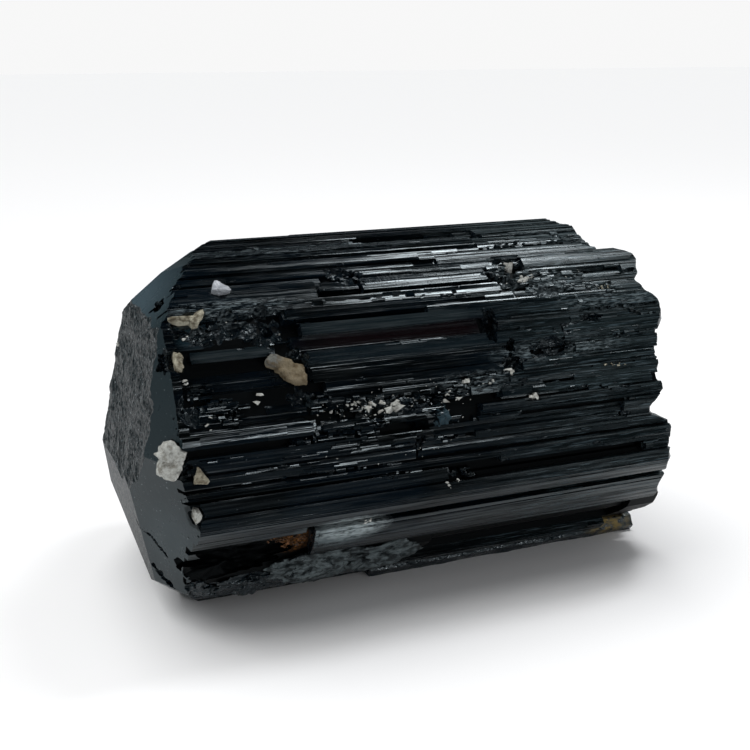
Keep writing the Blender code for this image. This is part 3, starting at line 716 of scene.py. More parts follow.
# %% [markdown]
# ## Broken places
# A hollow is a lump taken away. The wall that it leaves has the broken surface of its cutter, so
# each cutter is dished: the dishes come out as the shell-shaped facets of a conchoidal fracture.
# The places and sizes are those of the solid model, with finer walls.

# %% Hollows, sockets, the dark channel and the deep slot
HOLLOWS = [
    (-30, 136, 1.6, 5.5, 3.4, 2.6), (-24.5, 138, 1.4, 3.2, 3, 2.8), (-25, 131.5, 1.5, 1.6, 1.3, 2.2),
    (-33, 138, 1.2, 3.4, 1.8, 1.8), (-22, 147.5, 1.4, 2.2, 1.8, 2), (-21.5, 158.5, 1, 2.4, 2, 1.9),
    (-37, 159, 0.9, 2, 2.4, 1.2), (-11, 118, 1.6, 2.8, 2.2, 1.5), (17, 120, 1.4, 1.8, 1.7, 1.7),
    (15.5, 128.5, 1.4, 1.9, 1.6, 1.8), (20.5, 132.5, 1.6, 4.6, 2, 1.3), (9.2, 143.5, 1.2, 1.3, 2.6, 2.4),
    (26.5, 144, 1.7, 2.3, 1, 1.3), (11.8, 150.5, 1.2, 0.8, 1.2, 1.4), (18.5, 152.5, 1.4, 3.6, 1.6, 1.6),
    (11.5, 156, 1.4, 1.5, 1.7, 1.8), (-8.5, 164.5, 1.5, 5.5, 1.7, 1.6), (0.5, 163.5, 1.5, 3.4, 2.3, 1.7),
    (-9.5, 172, 1.7, 2.6, 1.8, 1.5), (-4.6, 176, 1.3, 0.8, 1.1, 1.3), (1.5, 188, 1.6, 1.7, 1.2, 1.3),
    (14, 167, 1.4, 1.5, 1, 1.3), (-39.6, 174, 0.8, 1.6, 1.9, 2.4), (-37.5, 121, -1.5, 1.5, 1.6, 1.5),
    (-38, 189, 1.2, 1.4, 2, 1.6), (-39.6, 144, 0.6, 1, 1.7, 2), (-36.9, 135.6, 1.4, 1.6, 1, 1.8),
]
HOLLOW_RELIEF = 0.20
UNDERCUT = (-30.5, 213.5, -0.7, 8.8, 3.7, 3.6)
CHANNEL = (213.5, 237.0, 1.0, 37.0, -1.2)
DEEP_SLOT = (186.2, 189.7, 4.0, 33.5, -0.9)
SEAT_GAP = 0.3            # a socket is this much larger than its grain (mm)
SOCKET_BITE = 0.1

# (x, angle, level, length, width, depth, relief, turn)
GRAINS = {
    "feldspar_lump": (-41.0, 171.8, 0.2, 2.35, 2.75, 1.9, 0.20, 10.0),
    "feldspar_wedge": (-37.3, 177.0, 1.1, 1.2, 1.25, 0.9, 0.10, 35.0),
    "feldspar_flake": (-23.3, 150.0, 1.3, 3.1, 1.75, 0.8, 0.14, -32.0),
    "feldspar_bar": (-35.4, 132.6, 1.4, 2.7, 0.95, 0.9, 0.12, 12.0),
    "feldspar_block": (-38.2, 144.2, 0.9, 0.95, 1.5, 1.0, 0.14, 0.0),
    "feldspar_bead": (-37.6, 188.9, 1.1, 0.8, 1.1, 0.9, 0.12, 0.0),
    "mica_flake": (-29.5, 120.0, 1.3, 1.5, 1.6, 0.55, 0.08, 20.0),
}

cutter_shelf = bpy.data.collections.new("cutters")

# %% Make the cutters for them
for index, numbers in enumerate(HOLLOWS):
    detail = 5 if numbers[3] > 4.5 else 4
    hollow = broken_lump(f"hollow_{index:02d}", numbers, HOLLOW_RELIEF, index + 1, detail)
    shelve(hollow, cutter_shelf, schorl_broken)
# the undercut takes the painted shade of the grooves
shelve(broken_lump("undercut", UNDERCUT, HOLLOW_RELIEF, 61, 5, granule=3.5), cutter_shelf, schorl_painted_shade)
for index, (name, numbers) in enumerate(GRAINS.items()):
    socket = broken_lump(name + "_socket", numbers[:6], numbers[6], index + 41, 4, SEAT_GAP, numbers[7],
                         bite=SOCKET_BITE)
    shelve(socket, cutter_shelf, schorl_broken)

# the deep slot and the channel take the painted shade of the grooves
for name, numbers in (("deep_slot", DEEP_SLOT), ("channel", CHANNEL)):
    angle_from, angle_to, x_from, x_to, floor_level = numbers
    steps = max(1, round((angle_to - angle_from) / 6.0))
    turns = [angle_from + (angle_to - angle_from) * step / steps for step in range(steps + 1)]
    spots = [on_prism(0.0, angle, floor_level) - AXIS for angle in turns]
    spots += [on_prism(0.0, angle, 4.0) - AXIS for angle in reversed(turns)]
    slot_mesh = bmesh.new()
    outline_prism(slot_mesh, [(spot.y, spot.z) for spot in spots], x_from, x_to)
    shelve(keep_mesh(name, slot_mesh), cutter_shelf, schorl_painted_shade)

# %% [markdown]
# ## The pointed end
# The end is closed by flat faces that meet at an angle, as on a cut gem: each is a plane, given by
# how far it leans from the axis, the way it faces, and where it crosses the axis. A large block
# beyond each plane is taken away. One face in the middle was eaten by natural etching, so its block
# has an uneven side: large swells first, then small pits drawn out in one direction.

# %% End faces
END_FACES = {
    "upper_face": (48.0, 92.0, -62.0),
    "lower_face": (27.6, 210.0, -51.7),
    "side_face": (27.6, 150.0, -53.1),
    "down_face": (12.0, 275.0, -44.4),
    "base_face": (45.0, 290.0, -57.6),
    "base_corner": (56.0, 251.0, -74.0),
    "top_edge": (65.0, 82.0, -85.4),
    "far_face": (35.0, 22.0, -46.4),
    "far_upper_face": (56.0, 62.0, -64.6),
}
ETCHED_FACE = (10.0, 90.0, -43.09)
ETCHED_GRID = 250
ETCHED_RELIEF = 0.5
ETCHED_GRAIN = 5.0
PIT_SIZE = 0.5            # mm
PIT_DEPTH = 0.12          # mm
PIT_DRAW = 1.35           # pits are this much longer than wide
END_CENTRE = -40.0
BLOCK = 80.0              # side of the block beyond a face (mm)
BEYOND = 60.0             # past the crystal's far end (mm)


def end_block(name, face, grid, relief, seed, pits):
    """A block beyond one end face; its cutting side may be swollen and pitted."""
    tilt, direction, x_axis = face
    lean = math.radians(tilt)
    normal = Vector((-math.cos(lean), 0.0, 0.0)) + outward_direction(direction) * math.sin(lean)
    turn = normal.to_track_quat("Z", "Y").to_matrix().to_4x4()
    end = AXIS + Vector((END_CENTRE, 0.0, 0.0))
    on_axis = AXIS + Vector((x_axis, 0.0, 0.0))
    centre = (end - normal * normal.dot(end - on_axis)) * MM
    bm = bmesh.new()
    bmesh.ops.create_grid(bm, x_segments=grid, y_segments=grid, size=0.5 * BLOCK * MM)
    shift = Vector((seed * 5.0, seed * 9.0, 0.0))
    for vert in bm.verts:
        spot = vert.co / MM
        spread = spot / ETCHED_GRAIN
        swell = noise.noise(spread + shift) + 0.5 * noise.noise(spread * 2.3 + shift)
        swell += 0.35 * abs(noise.noise(spread * 4.5 + shift))
        drawn = Vector((spot.x, spot.y / PIT_DRAW, 0.0)) / PIT_SIZE
        pit = noise.noise(drawn + shift) + 0.6 * noise.noise(drawn * 2.1 + shift)
        vert.co.z += (relief * swell + pits * (pit - 0.6)) * MM
    lifted = bmesh.ops.extrude_face_region(bm, geom=list(bm.faces))
    top = [item for item in lifted["geom"] if isinstance(item, bmesh.types.BMVert)]
    bmesh.ops.translate(bm, verts=top, vec=(0.0, 0.0, 0.5 * BLOCK * MM))
    bmesh.ops.transform(bm, matrix=Matrix.Translation(centre) @ turn, verts=bm.verts)
    return keep_mesh(name, bm)


for name, face in END_FACES.items():
    shelve(end_block(name, face, 1, 0.0, 0, 0.0), cutter_shelf, schorl_end)
bpy.data.objects["down_face"].data.materials[0] = schorl_etched   # this flat face is etched too
etched = end_block("etched_face", ETCHED_FACE, ETCHED_GRID, ETCHED_RELIEF, 3, PIT_DEPTH)
shelve(etched, cutter_shelf, schorl_etched)
print(len(END_FACES), "flat end faces and one etched face")

# %% [markdown]
# ## The broken end
# The other end snapped off the rock, and schorl breaks like glass: the break is shell-shaped, with
# a splintered rim. A flat plane would look sawn. So its cutter is a disc of rings and spokes. Its
# middle dips and swells at three sizes, and its rim follows the ribs, each of which ends at its own
# place, and rounds them off. The foot stands proud of the break, so the disc steps back there.

# %% The far end's cutter
BROKEN_REACH = 31.0       # mm from the axis, beyond every rib
BROKEN_MIDDLE = 37.2
CHANNEL_END = (212.0, 246.0, 0.0, 42.0, 1.0, PLAIN)   # the base fills the end of the dark channel
FOOT_BOX = (-13.4, -4.4, -20.6)                       # the break leaves the foot: from y, to y, below z
RIM_BLEND = 2.4           # degrees
RIM_TRIM = -0.2           # mm off the ribs' ends; less than 0 leaves the ribs whole
RIM_DEPTH = 1.5           # the rounding starts this far below the ribs' tops (mm)
SWELLS = [(9.0, 1.6), (3.6, 1.1), (1.7, 0.5)]         # width and height (mm)
FINE_SWELL = (0.9, 0.25)
MIDDLE_OF_BREAK = 19.0    # outside this reach the rim takes over,
RIM_WIDTH = 5.5           # within this width (mm)
RIM_CURVE = 0.45          # how fast the rounding falls away
RINGS, SPOKES = 52, 216


def rim_end(angle):
    """Where the ribs end along the axis, averaged near one angle."""
    total = weights = 1e-9
    for first, last, _, x_to, _, _ in NEAR_RIBS + far_rows + [CHANNEL_END]:
        away = abs((0.5 * (first + last) - angle + 180.0) % 360.0 - 180.0) - 0.5 * (last - first)
        weight = math.exp(-(max(away, 0.0) / RIM_BLEND) ** 2) * (x_to > 28.0)
        total, weights = total + weight * x_to, weights + weight
    return total / weights


def broken_end(name, seed):
    """A block past the far end whose near side is uneven and shell-shaped."""
    bm = bmesh.new()
    rows = []
    for ring in range(RINGS + 1):
        row = []
        for spoke in range(SPOKES if ring else 1):
            angle = 360.0 * spoke / SPOKES
            reach = BROKEN_REACH * (ring / RINGS) ** 0.8
            flat = outward_direction(angle) * reach
            share = min(max(reach - MIDDLE_OF_BREAK, 0.0) / RIM_WIDTH, 1.0) ** 2
            x = BROKEN_MIDDLE + (rim_end(angle) - RIM_TRIM - BROKEN_MIDDLE) * share
            x -= RIM_CURVE * max(reach - section_radius(angle) + RIM_DEPTH, 0.0) ** 2
            for width, height in SWELLS:
                dip = abs(noise.noise(flat / width + Vector((seed, 0.0, 0.0)))) - 0.2
                x -= height * dip * (1.3 - share)
            x += FINE_SWELL[1] * noise.noise(flat / FINE_SWELL[0])
            if FOOT_BOX[0] < flat.y < FOOT_BOX[1] and flat.z < FOOT_BOX[2]:
                x = BEYOND
            row.append(bm.verts.new((AXIS + flat + Vector((x, 0.0, 0.0))) * MM))
        rows.append(row)
    for spoke in range(SPOKES):
        after = (spoke + 1) % SPOKES
        bm.faces.new((rows[0][0], rows[1][spoke], rows[1][after]))
        for inner, outer in zip(rows[1:], rows[2:]):
            bm.faces.new((inner[spoke], outer[spoke], outer[after], inner[after]))
    lifted = bmesh.ops.extrude_face_region(bm, geom=list(bm.faces))
    for item in lifted["geom"]:
        if isinstance(item, bmesh.types.BMVert):
            item.co.x = (AXIS.x + BEYOND + 10.0) * MM
    return keep_mesh(name, bm)


shelve(broken_end("broken_end", 5.0), cutter_shelf, schorl_broken)
print("from the top to the front the ribs end at", [round(rim_end(a), 1) for a in range(90, 211, 30)], "mm")

# %% [markdown]
# ## The resting face
# The crystal lies on one flat prism face. A block below the floor's level gives that face, and three
# thin slabs trim the few splinters that would stand past the size of the solid model.

# %% The resting face and the size limits
ROOMY = Vector((160.0, 120.0, 40.0))   # larger than the crystal (mm)
under = bmesh.new()
bmesh.ops.create_cube(under, size=1.0)
for vert in under.verts:
    vert.co = (Vector((0.0, 0.0, low.z - 0.5 * ROOMY.z)) + vert.co * ROOMY) * MM
shelve(keep_mesh("underside", under), cutter_shelf, schorl_prism)
TRIM = 0.02
SLAB = 20.0
for index, (axis, limit) in enumerate(((0, high.x), (1, high.y), (2, high.z))):
    slab = bmesh.new()
    bmesh.ops.create_cube(slab, size=1.0)
    for vert in slab.verts:
        spot = vert.co * ROOMY.x
        spot[axis] = limit - TRIM + (vert.co[axis] + 0.5) * SLAB
        vert.co = spot * MM
    shelve(keep_mesh(f"trim_{index}", slab), cutter_shelf, schorl_broken)

# %% [markdown]
# ## Chipped edges
# No rib keeps a clean edge. Small bites sit along the ribs' edges and at their ends. Each chip is a
# point with a size and a turn, and a second tree puts one of four broken lumps there, gathers the
# hollows and end blocks with them, and takes everything from the ribbed body in one step.

# %% A list of chips
CHIP_SIZES = (0.15, 0.2, 0.28, 0.4)
CHIPS_PER_RIB = 2         # along its edges; a smooth rib has 1
CHIPS_PER_END = 2
END_CHIP_SIZES = (0.25, 0.6)
# lines of bites, as corners (x, angle, level), the largest bite and the number: the crack in the
# lower end face, then the broken rim of the base
BITE_LINES = [
    ([(-42.6, 220.8, -11.9), (-41.5, 213.7, -6.4), (-39.8, 215.7, -3.0)], 0.5, 80),
    ([(-41.3, 228.1, -5.1), (-40.2, 229.3, -2.7), (-38.7, 226.6, -0.3), (-34.9, 238.1, 1.0)], 1.1, 22),
    ([(-35.0, 238.1, 1.2), (-31.8, 239.5, 1.5), (-24.8, 239.0, 1.4), (-14.0, 239.0, 1.4)], 0.9, 30),
    ([(-42.4, 118.0, -6.0), (-38.0, 128.0, -0.5), (-37.0, 138.0, 0.6), (-37.0, 150.0, 0.7)], 0.4, 16),
    ([(-39.6, 160.0, 0.5), (-39.4, 168.0, 1.0), (-38.6, 184.0, 1.4), (-37.2, 196.0, 1.6)], 0.4, 16),
]
chips = []
for angle_from, angle_to, x_from, x_to, level, step in NEAR_RIBS + far_rows:
    for _ in range(CHIPS_PER_RIB if step != SMOOTH else 1):
        x = rng.uniform(max(x_from, -36.0), x_to)
        edge = rng.choice((angle_from, angle_to))
        chips.append((on_prism(x, edge, level), rng.choice(CHIP_SIZES), rng.uniform(0.0, math.tau)))
    for _ in range(CHIPS_PER_END):
        chips.append((on_prism(x_to + rng.uniform(-0.3, 0.4), rng.uniform(angle_from, angle_to), level + 0.3),
                      rng.uniform(*END_CHIP_SIZES), rng.uniform(0.0, math.tau)))
for corners, largest, count in BITE_LINES:
    for _ in range(count):
        along = rng.random() * (len(corners) - 1)
        leg = int(along)
        first, second = corners[leg], corners[leg + 1]
        x, angle, level = [u + (v - u) * (along - leg) for u, v in zip(first, second)]
        chips.append((on_prism(x, angle, level) + Vector([rng.gauss(0.0, 0.25 * largest) for _ in range(3)]),
                      largest * rng.uniform(0.45, 1.0) / 1.6, rng.uniform(0.0, math.tau)))

# %% Chip blanks
CHIP_KINDS = 4
CHIP_LENGTH = 2.4         # a chip is this much longer than wide
chip_shelf = bpy.data.collections.new("chip_blanks")
for index in range(CHIP_KINDS):
    chip_mesh = bmesh.new()
    bmesh.ops.create_icosphere(chip_mesh, subdivisions=2, radius=1.0)
    for vert in chip_mesh.verts:
        dish = noise.voronoi(vert.co * 1.4 + Vector((index * 7.0, 0.0, 0.0)))[0][0]
        vert.co = Vector((vert.co.x * CHIP_LENGTH, vert.co.y, vert.co.z)) * (1.3 - 0.7 * dish)
    shelve(keep_mesh(f"chip_blank_{index}", chip_mesh), chip_shelf, schorl_broken)
print(len(chips), "chips")

# %% Take everything away in one step
break_out = new_tree("break_out", {"Body": "Object", "Chip Blanks": "Collection", "Cutters": "Collection",
                                   "Seed": "Int", "Rest Finish": "Material"})
given = add_node(break_out, "NodeGroupInput")
scattered = blanks_on_points(break_out, given, "Chip Blanks", CHIP_KINDS, ["turn"], ["size"] * 3)
body_info = add_node(break_out, "GeometryNodeObjectInfo", None, Object=given.outputs["Body"])
cutter_info = add_node(break_out, "GeometryNodeCollectionInfo", None, Collection=given.outputs["Cutters"],
                       Separate_Children=True)
cut = add_node(break_out, "GeometryNodeMeshBoolean", {"operation": "DIFFERENCE", "solver": "MANIFOLD"},
               Mesh_1=body_info.outputs["Geometry"])
for part in (cutter_info.outputs["Instances"], scattered):
    break_out.links.new(part, cut.inputs["Mesh 2"])
real = add_node(break_out, "GeometryNodeRealizeInstances", None, Geometry=cut.outputs["Mesh"])
# the flat face that it rests on keeps the plain finish of a prism face
normal_parts = add_node(break_out, "ShaderNodeSeparateXYZ")
break_out.links.new(add_node(break_out, "GeometryNodeInputNormal").outputs[0], normal_parts.inputs[0])
is_rest = add_node(break_out, "FunctionNodeCompare", {"operation": "LESS_THAN"}, i0=normal_parts.outputs["Z"])
is_rest.inputs[1].default_value = -0.9999
dressed = add_node(break_out, "GeometryNodeSetMaterial", None, Geometry=real.outputs["Geometry"],
                   Selection=is_rest.outputs[0], Material=given.outputs["Rest Finish"])
add_node(break_out, "NodeGroupOutput", None, Geometry=dressed.outputs["Geometry"])

chip_points = point_cloud("chip_points", [(w, s * MM, t) for w, s, t in chips], ["size", "turn"])
crystal = run_tree(chip_points, break_out, {
    "Body": ribbed, "Chip Blanks": chip_shelf, "Cutters": cutter_shelf, "Seed": 11,
    "Rest Finish": schorl_prism}, "schorl_crystal")

# %% [markdown]
# Such a cut also leaves crumbs that touch nothing. They would hang in the air, so only the largest
# connected body is kept. Its faces stay flat-shaded, because fresh breaks have crisp edges.

# %% Keep the one large body and drop crumbs that were cut loose
def keep_largest_body(obj):
    """Triangulate, and delete every island but the largest."""
    bm = bmesh.new()
    bm.from_mesh(obj.data)
    bmesh.ops.triangulate(bm, faces=bm.faces)
    unseen = set(bm.verts)
    groups = []
    while unseen:
        stack = [unseen.pop()]
        group = []
        while stack:
            vert = stack.pop()
            group.append(vert)
            for edge in vert.link_edges:
                other = edge.other_vert(vert)
                if other in unseen:
                    unseen.remove(other)
                    stack.append(other)
        groups.append(group)
    groups.sort(key=len)
    for group in groups[:-1]:
        bmesh.ops.delete(bm, geom=group, context="VERTS")
    open_edges = sum(len(edge.link_faces) != 2 for edge in bm.edges)
    print(obj.name, len(bm.faces), "triangles,", len(groups) - 1, "loose crumbs dropped,",
          open_edges, "open edges")
    bm.to_mesh(obj.data)
    bm.free()
    obj.data.shade_flat()


keep_largest_body(crystal)
shelve(crystal, bpy.context.scene.collection)
print("finishes on the crystal:", [m.name for m in crystal.data.materials])

# %% [markdown]
# ## Grains of feldspar and mica
# Small grains of other minerals grew with the crystal and are still held by it. Feldspar breaks
# along flat cleavage planes, so a grain is a blocky chip with corners and a crumbly surface. Each
# starts from its outline, given as corners in mm. A ball is pulled out to that outline and pressed
# flat on top, then swells, dishes and grit roughen it. Its root fills the socket.

# %% Outlines and places of the grains
# place: (x, angle, level); outline: corners (right, up) as seen from outside; height above the place
GRAIN_SHAPES = {
    "feldspar_lump": ((-40.4, 172.2, 0.2), [
        (-0.5, 2.5), (0.3, 2.6), (1.3, 1.3), (2.1, 1.2), (1.7, 0), (1.2, -1.4), (-0.1, -2.6),
        (-1.7, -1.9), (-1.7, -0.6), (-1.2, 0.1), (-2.1, 1), (-1.2, 1.4)], 1.35),
    "feldspar_wedge": ((-37, 177.2, 1.3), [
        (-0.3, 1.4), (0, 1.2), (1.4, -0.9), (0.9, -1.1), (-0.9, -0.9), (-0.8, -0.4)], 0.55),
    "feldspar_flake": ((-23.1, 150, 1.35), [
        (-2.8, 1.4), (-1.7, 2.2), (-0.4, 1.8), (0.2, 1.2), (1.9, 0.2), (2.6, -0.7), (2.5, -2.4),
        (1, -2.3), (-0.4, -1.6), (-0.9, -0.6), (-1.5, -0.2), (-1.7, 0.5), (-2.5, 0.5)], 0.7),
    "feldspar_bar": ((-34.7, 132.2, 1.4), [
        (-3.2, 0.25), (-0.6, 0.1), (0.2, 0.5), (1.9, 1.4), (1.4, 0.2), (0.7, -0.9), (-0.3, -0.9),
        (-0.6, -0.4), (-3.2, -0.2)], 0.55),
    "feldspar_block": ((-37.8, 144.4, 1), [
        (-0.4, 1.3), (0.5, 1.2), (0.9, 0.3), (0.5, -0.3), (0.6, -1.1), (-0.3, -1.3), (-0.5, -0.2)], 0.8),
    "feldspar_bead": ((-37.5, 189.1, 1.1), [
        (-0.3, 1.1), (0.4, 0.9), (0.6, 0), (0.2, -0.8), (-0.2, -1.2), (-0.5, -0.4), (-0.4, 0.4)], 0.7),
    "mica_flake": ((-29.4, 120.2, 1.45), [
        (-1.4, -0.5), (-0.4, 1.3), (0.6, 0.8), (1.7, -0.9), (0.1, -0.9)], 0.35),
}
GRAIN_DETAIL = 5
GRAIN_GRIT, FINE_GRIT = 0.35, 0.16  # mm
FLATNESS = 0.42           # 1 is a ball, less is flatter on top with steeper sides
SWELL_WIDTH, FACET_WIDTH, TOP_WAVE = 1.1, 1.2, 0.9   # mm


# %% Blocky grains

def outline_reach(outline, direction):
    """How far an outline reaches from its middle in one direction (mm)."""
    for (x, y), (next_x, next_y) in zip(outline, outline[1:] + outline[:1]):
        edge = Vector((next_x - x, next_y - y))
        across = direction.x * edge.y - direction.y * edge.x
        if abs(across) < 1e-9:
            continue
        reach = (x * edge.y - y * edge.x) / across
        share = (x * direction.y - y * direction.x) / across
        if reach > 0.0 and -1e-6 <= share <= 1.0 + 1e-6:
            return reach
    return 1.0


def cleaved_grain(name, root_depth, seed):
    """A blocky mineral grain in its socket."""
    (x, angle, level), outline, height = GRAIN_SHAPES[name]
    outward = outward_direction(angle)
    along = Vector((1.0, 0.0, 0.0))
    frame_of_grain = Matrix((along, outward.cross(along), outward)).transposed()
    offset = Vector((seed * 3.7, seed * 1.3, seed * 2.1))
    centre = on_prism(x, angle, level)
    bm = bmesh.new()
    bmesh.ops.create_icosphere(bm, subdivisions=GRAIN_DETAIL, radius=1.0)
    for vert in bm.verts:
        direction = vert.co.normalized()
        flat = Vector((direction.x, direction.y))
        level_share = flat.length
        reach = outline_reach(outline, flat.normalized()) if level_share > 1e-6 else 0.0
        side = flat.normalized() * reach * level_share ** FLATNESS if level_share > 1e-6 else flat
        tall = height if direction.z > 0.0 else root_depth
        up = abs(direction.z) ** FLATNESS * tall * (1.0 if direction.z > 0.0 else -1.0)
        local = Vector((side.x, side.y, up))
        local *= 1.0 + 0.16 * noise.noise(local / SWELL_WIDTH + offset)
        local.z += 0.5 * height * noise.noise(Vector((side.x, side.y, 0.0)) / TOP_WAVE + offset)
        local -= local.normalized() * 0.32 * (noise.voronoi(local / FACET_WIDTH + offset)[0][0] - 0.4)
        grit = noise.voronoi(local / GRAIN_GRIT + offset)[0][0] - 0.5
        grit += 0.6 * noise.noise(local / FINE_GRIT + offset)
        local += local.normalized() * 0.14 * grit
        vert.co = (centre + frame_of_grain @ local) * MM
    return shelve(keep_mesh(name + "_grain", bm), bpy.context.scene.collection)


grains = {}
for index, (name, numbers) in enumerate(GRAINS.items()):
    grains[name] = cleaved_grain(name, numbers[5] + SEAT_GAP + 0.2, index + 41)
    print(grains[name].name, len(grains[name].data.polygons), "faces")

# %% [markdown]
# ## Crumbs
# Feldspar crumbs as small as sand stick in the crumbled belts. They are the same few broken blanks
# again, put on points with a size and three turns, and made real at the end.

# %% Points for the crumbs
# (from x, to x, from angle, to angle, level, smallest, largest, how many)
CRUMB_BELTS = {
    "feldspar_crumbs": [
        (-18, -12.5, 162, 165, 0.7, 0.16, 0.45, 16), (-12.5, -7.5, 163, 166, 0.9, 0.3, 0.65, 16),
        (-19, -4, 161, 167, 0.8, 0.05, 0.12, 34), (-27.9, -27.1, 157, 159, 0.5, 0.4, 0.6, 2),
        (3.4, 4.6, 159, 160.5, 1, 0.4, 0.6, 3), (6, 8.2, 160, 162, 1, 0.2, 0.4, 4),
        (-0.5, 2, 162, 165.5, 0.8, 0.2, 0.5, 8), (10.7, 11.4, 158, 159.5, 1, 0.4, 0.65, 3),
        (13, 14.2, 166, 167.5, 1.2, 0.3, 0.6, 4), (16.4, 17.6, 117.5, 120, 0.4, 0.5, 0.8, 4),
        (17, 19.4, 125, 129, 1.1, 0.4, 0.75, 7), (-41, -40.8, 79, 80, -12.5, 0.3, 0.5, 3),
        (-1, 0.2, 189, 192, 1.7, 0.2, 0.4, 4), (0.8, 1.6, 189, 190.5, 1.5, 0.2, 0.35, 3),
        (-14, -11.5, 199, 201, 1.8, 0.12, 0.25, 7), (-36.6, -36, 137.6, 138.6, 1.4, 0.2, 0.3, 2),
        (-37.4, -36.6, 150, 151.5, 0.9, 0.2, 0.4, 4), (-22, 4, 158, 171, 1, 0.06, 0.14, 30),
        (13, 34, 120, 136, 1.4, 0.06, 0.15, 14), (-36, -20, 130, 143, -0.2, 0.06, 0.14, 12),
        (-37, -33, 160, 166, 0.7, 0.12, 0.3, 3), (-24, 2, 176, 182, 1.5, 0.05, 0.12, 12),
    ],
    "tan_crumbs": [
        (27, 31.5, 133.2, 134.6, 1, 0.15, 0.3, 14), (27, 31, 159.8, 161, 1.2, 0.12, 0.25, 9),
        (34, 41, 216.5, 219, -2.2, 0.15, 0.3, 8),
    ],
    "rust_crumbs": [
        (-24.4, -20.4, 206.5, 212, -0.1, 0.1, 0.3, 60), (-26.5, -23, 204.5, 207.5, 0.1, 0.06, 0.18, 24),
    ],
}
CRUMB_SINK = 0.35         # share of a crumb's size that is sunk in the crystal
CRUMB_TILT = 0.4          # crumbs lie roughly along the ribs (radians)


def crumb_points(name, belts):
    """Points with a size and three turns for the crumbs of one kind."""
    rows = []
    for x_from, x_to, a_from, a_to, level, least, most, count in belts:
        for _ in range(count):
            crumb = rng.uniform(least, most)
            spot = on_prism(rng.uniform(x_from, x_to), rng.uniform(a_from, a_to), level - CRUMB_SINK * crumb)
            rows.append((spot, crumb * MM, rng.uniform(0.0, math.tau), rng.gauss(0.0, CRUMB_TILT),
                         rng.gauss(0.0, CRUMB_TILT)))
    return point_cloud(name, rows, ["size", "turn_x", "turn_y", "turn_z"])


# %% Crumb blanks
crumb_shelf = bpy.data.collections.new("crumb_blanks")
CRUMB_KINDS = 4
CRUMB_CORNERS = 8
CRUMB_SHAPE = (1.5, 0.9, 0.6)          # length, width and height for a size of 1
corner_rng = random.Random(3)
for index in range(CRUMB_KINDS):
    # the hull of a few random corners: a splinter with flat cleavage faces
    crumb_mesh = bmesh.new()
    for _ in range(CRUMB_CORNERS):
        corner = Vector([corner_rng.gauss(0.0, 1.0) for _ in range(3)]).normalized()
        corner = corner * corner_rng.uniform(0.75, 1.15)
        crumb_mesh.verts.new([part * stretch for part, stretch in zip(corner, CRUMB_SHAPE)])
    hull = bmesh.ops.convex_hull(crumb_mesh, input=crumb_mesh.verts)
    inside = [item for item in hull["geom_interior"] if isinstance(item, bmesh.types.BMVert)]
    bmesh.ops.delete(crumb_mesh, geom=inside, context="VERTS")
    shelve(keep_mesh(f"crumb_blank_{index}", crumb_mesh), crumb_shelf)

# %% The tree that scatters the crumbs
scatter = new_tree("scatter_crumbs", {"Blanks": "Collection", "Seed": "Int", "Finish": "Material"})
given = add_node(scatter, "NodeGroupInput")
placed = blanks_on_points(scatter, given, "Blanks", CRUMB_KINDS, ["turn_x", "turn_y", "turn_z"], ["size"] * 3)
real = add_node(scatter, "GeometryNodeRealizeInstances", None, Geometry=placed)
dressed = add_node(scatter, "GeometryNodeSetMaterial", None, Geometry=real.outputs["Geometry"],
                   Material=given.outputs["Finish"])
add_node(scatter, "NodeGroupOutput", None, Geometry=dressed.outputs["Geometry"])
print("tree scatter_crumbs has", len(scatter.nodes), "nodes")

# %% [markdown]
# ## Colour and finish
# Colours are written as they would be picked on a screen, and one function turns them to the linear
# values that the shader needs. Patterns are worked out in millimetres on the object's own
# coordinates, so the same place on the crystal always has the same mark.

# %% Colour helper and the crystal's own coordinates
def linear(hex_colour):
    """An sRGB hex colour as linear RGBA."""
    channels = [int(hex_colour[i:i + 2], 16) / 255.0 for i in (1, 3, 5)]
    return tuple(c / 12.92 if c <= 0.04045 else ((c + 0.055) / 1.055) ** 2.4 for c in channels) + (1.0,)


def mm_coordinates(tree, stretch=(1.0, 1.0, 1.0), shift=(0.0, 0.0, 0.0)):
    """Object coordinates in mm, each axis divided by a length in mm."""
    coordinates = add_node(tree, "ShaderNodeTexCoord")
    scale = [1.0 / (MM * length) for length in stretch]
    place = [-s / length for s, length in zip(shift, stretch)]
    mapped = add_node(tree, "ShaderNodeMapping", {"vector_type": "POINT"}, Vector=coordinates.outputs["Object"],
                      Location=place, Scale=scale)
    return mapped.outputs["Vector"]


def mottling(tree, lengths, detail=3.0, shift=(0.0, 0.0, 0.0), roughness=0.5):
    """Uneven growth: soft noise whose features have the given lengths (mm) along X, Y and Z."""
    return add_node(tree, "ShaderNodeTexNoise", None, Vector=mm_coordinates(tree, lengths, shift), Scale=1.0,
                    Detail=detail, Roughness=roughness).outputs["Fac"]


def patches(tree, lengths, start, full, values=(0.0, 1.0), shift=(0.0, 0.0, 0.0), detail=3.0):
    """Patches of a mottling: the first value outside, the second inside, a soft edge between."""
    blotches = mottling(tree, lengths, detail, shift, 0.6)
    return add_node(tree, "ShaderNodeMapRange", {"clamp": True}, Value=blotches, From_Min=start,
                    From_Max=full, To_Min=values[0], To_Max=values[1]).outputs["Result"]


def oval(tree, centre, size, edge=0.35):
    """1 inside an oval (mm) about a point of the crystal, fading to 0 outside."""
    place = mm_coordinates(tree, size, centre)
    away = add_node(tree, "ShaderNodeVectorMath", {"operation": "LENGTH"}, i0=place).outputs["Value"]
    return add_node(tree, "ShaderNodeMapRange", {"clamp": True}, Value=away, From_Min=1.0 - edge,
                    From_Max=1.0 + edge, To_Min=1.0, To_Max=0.0).outputs["Result"]


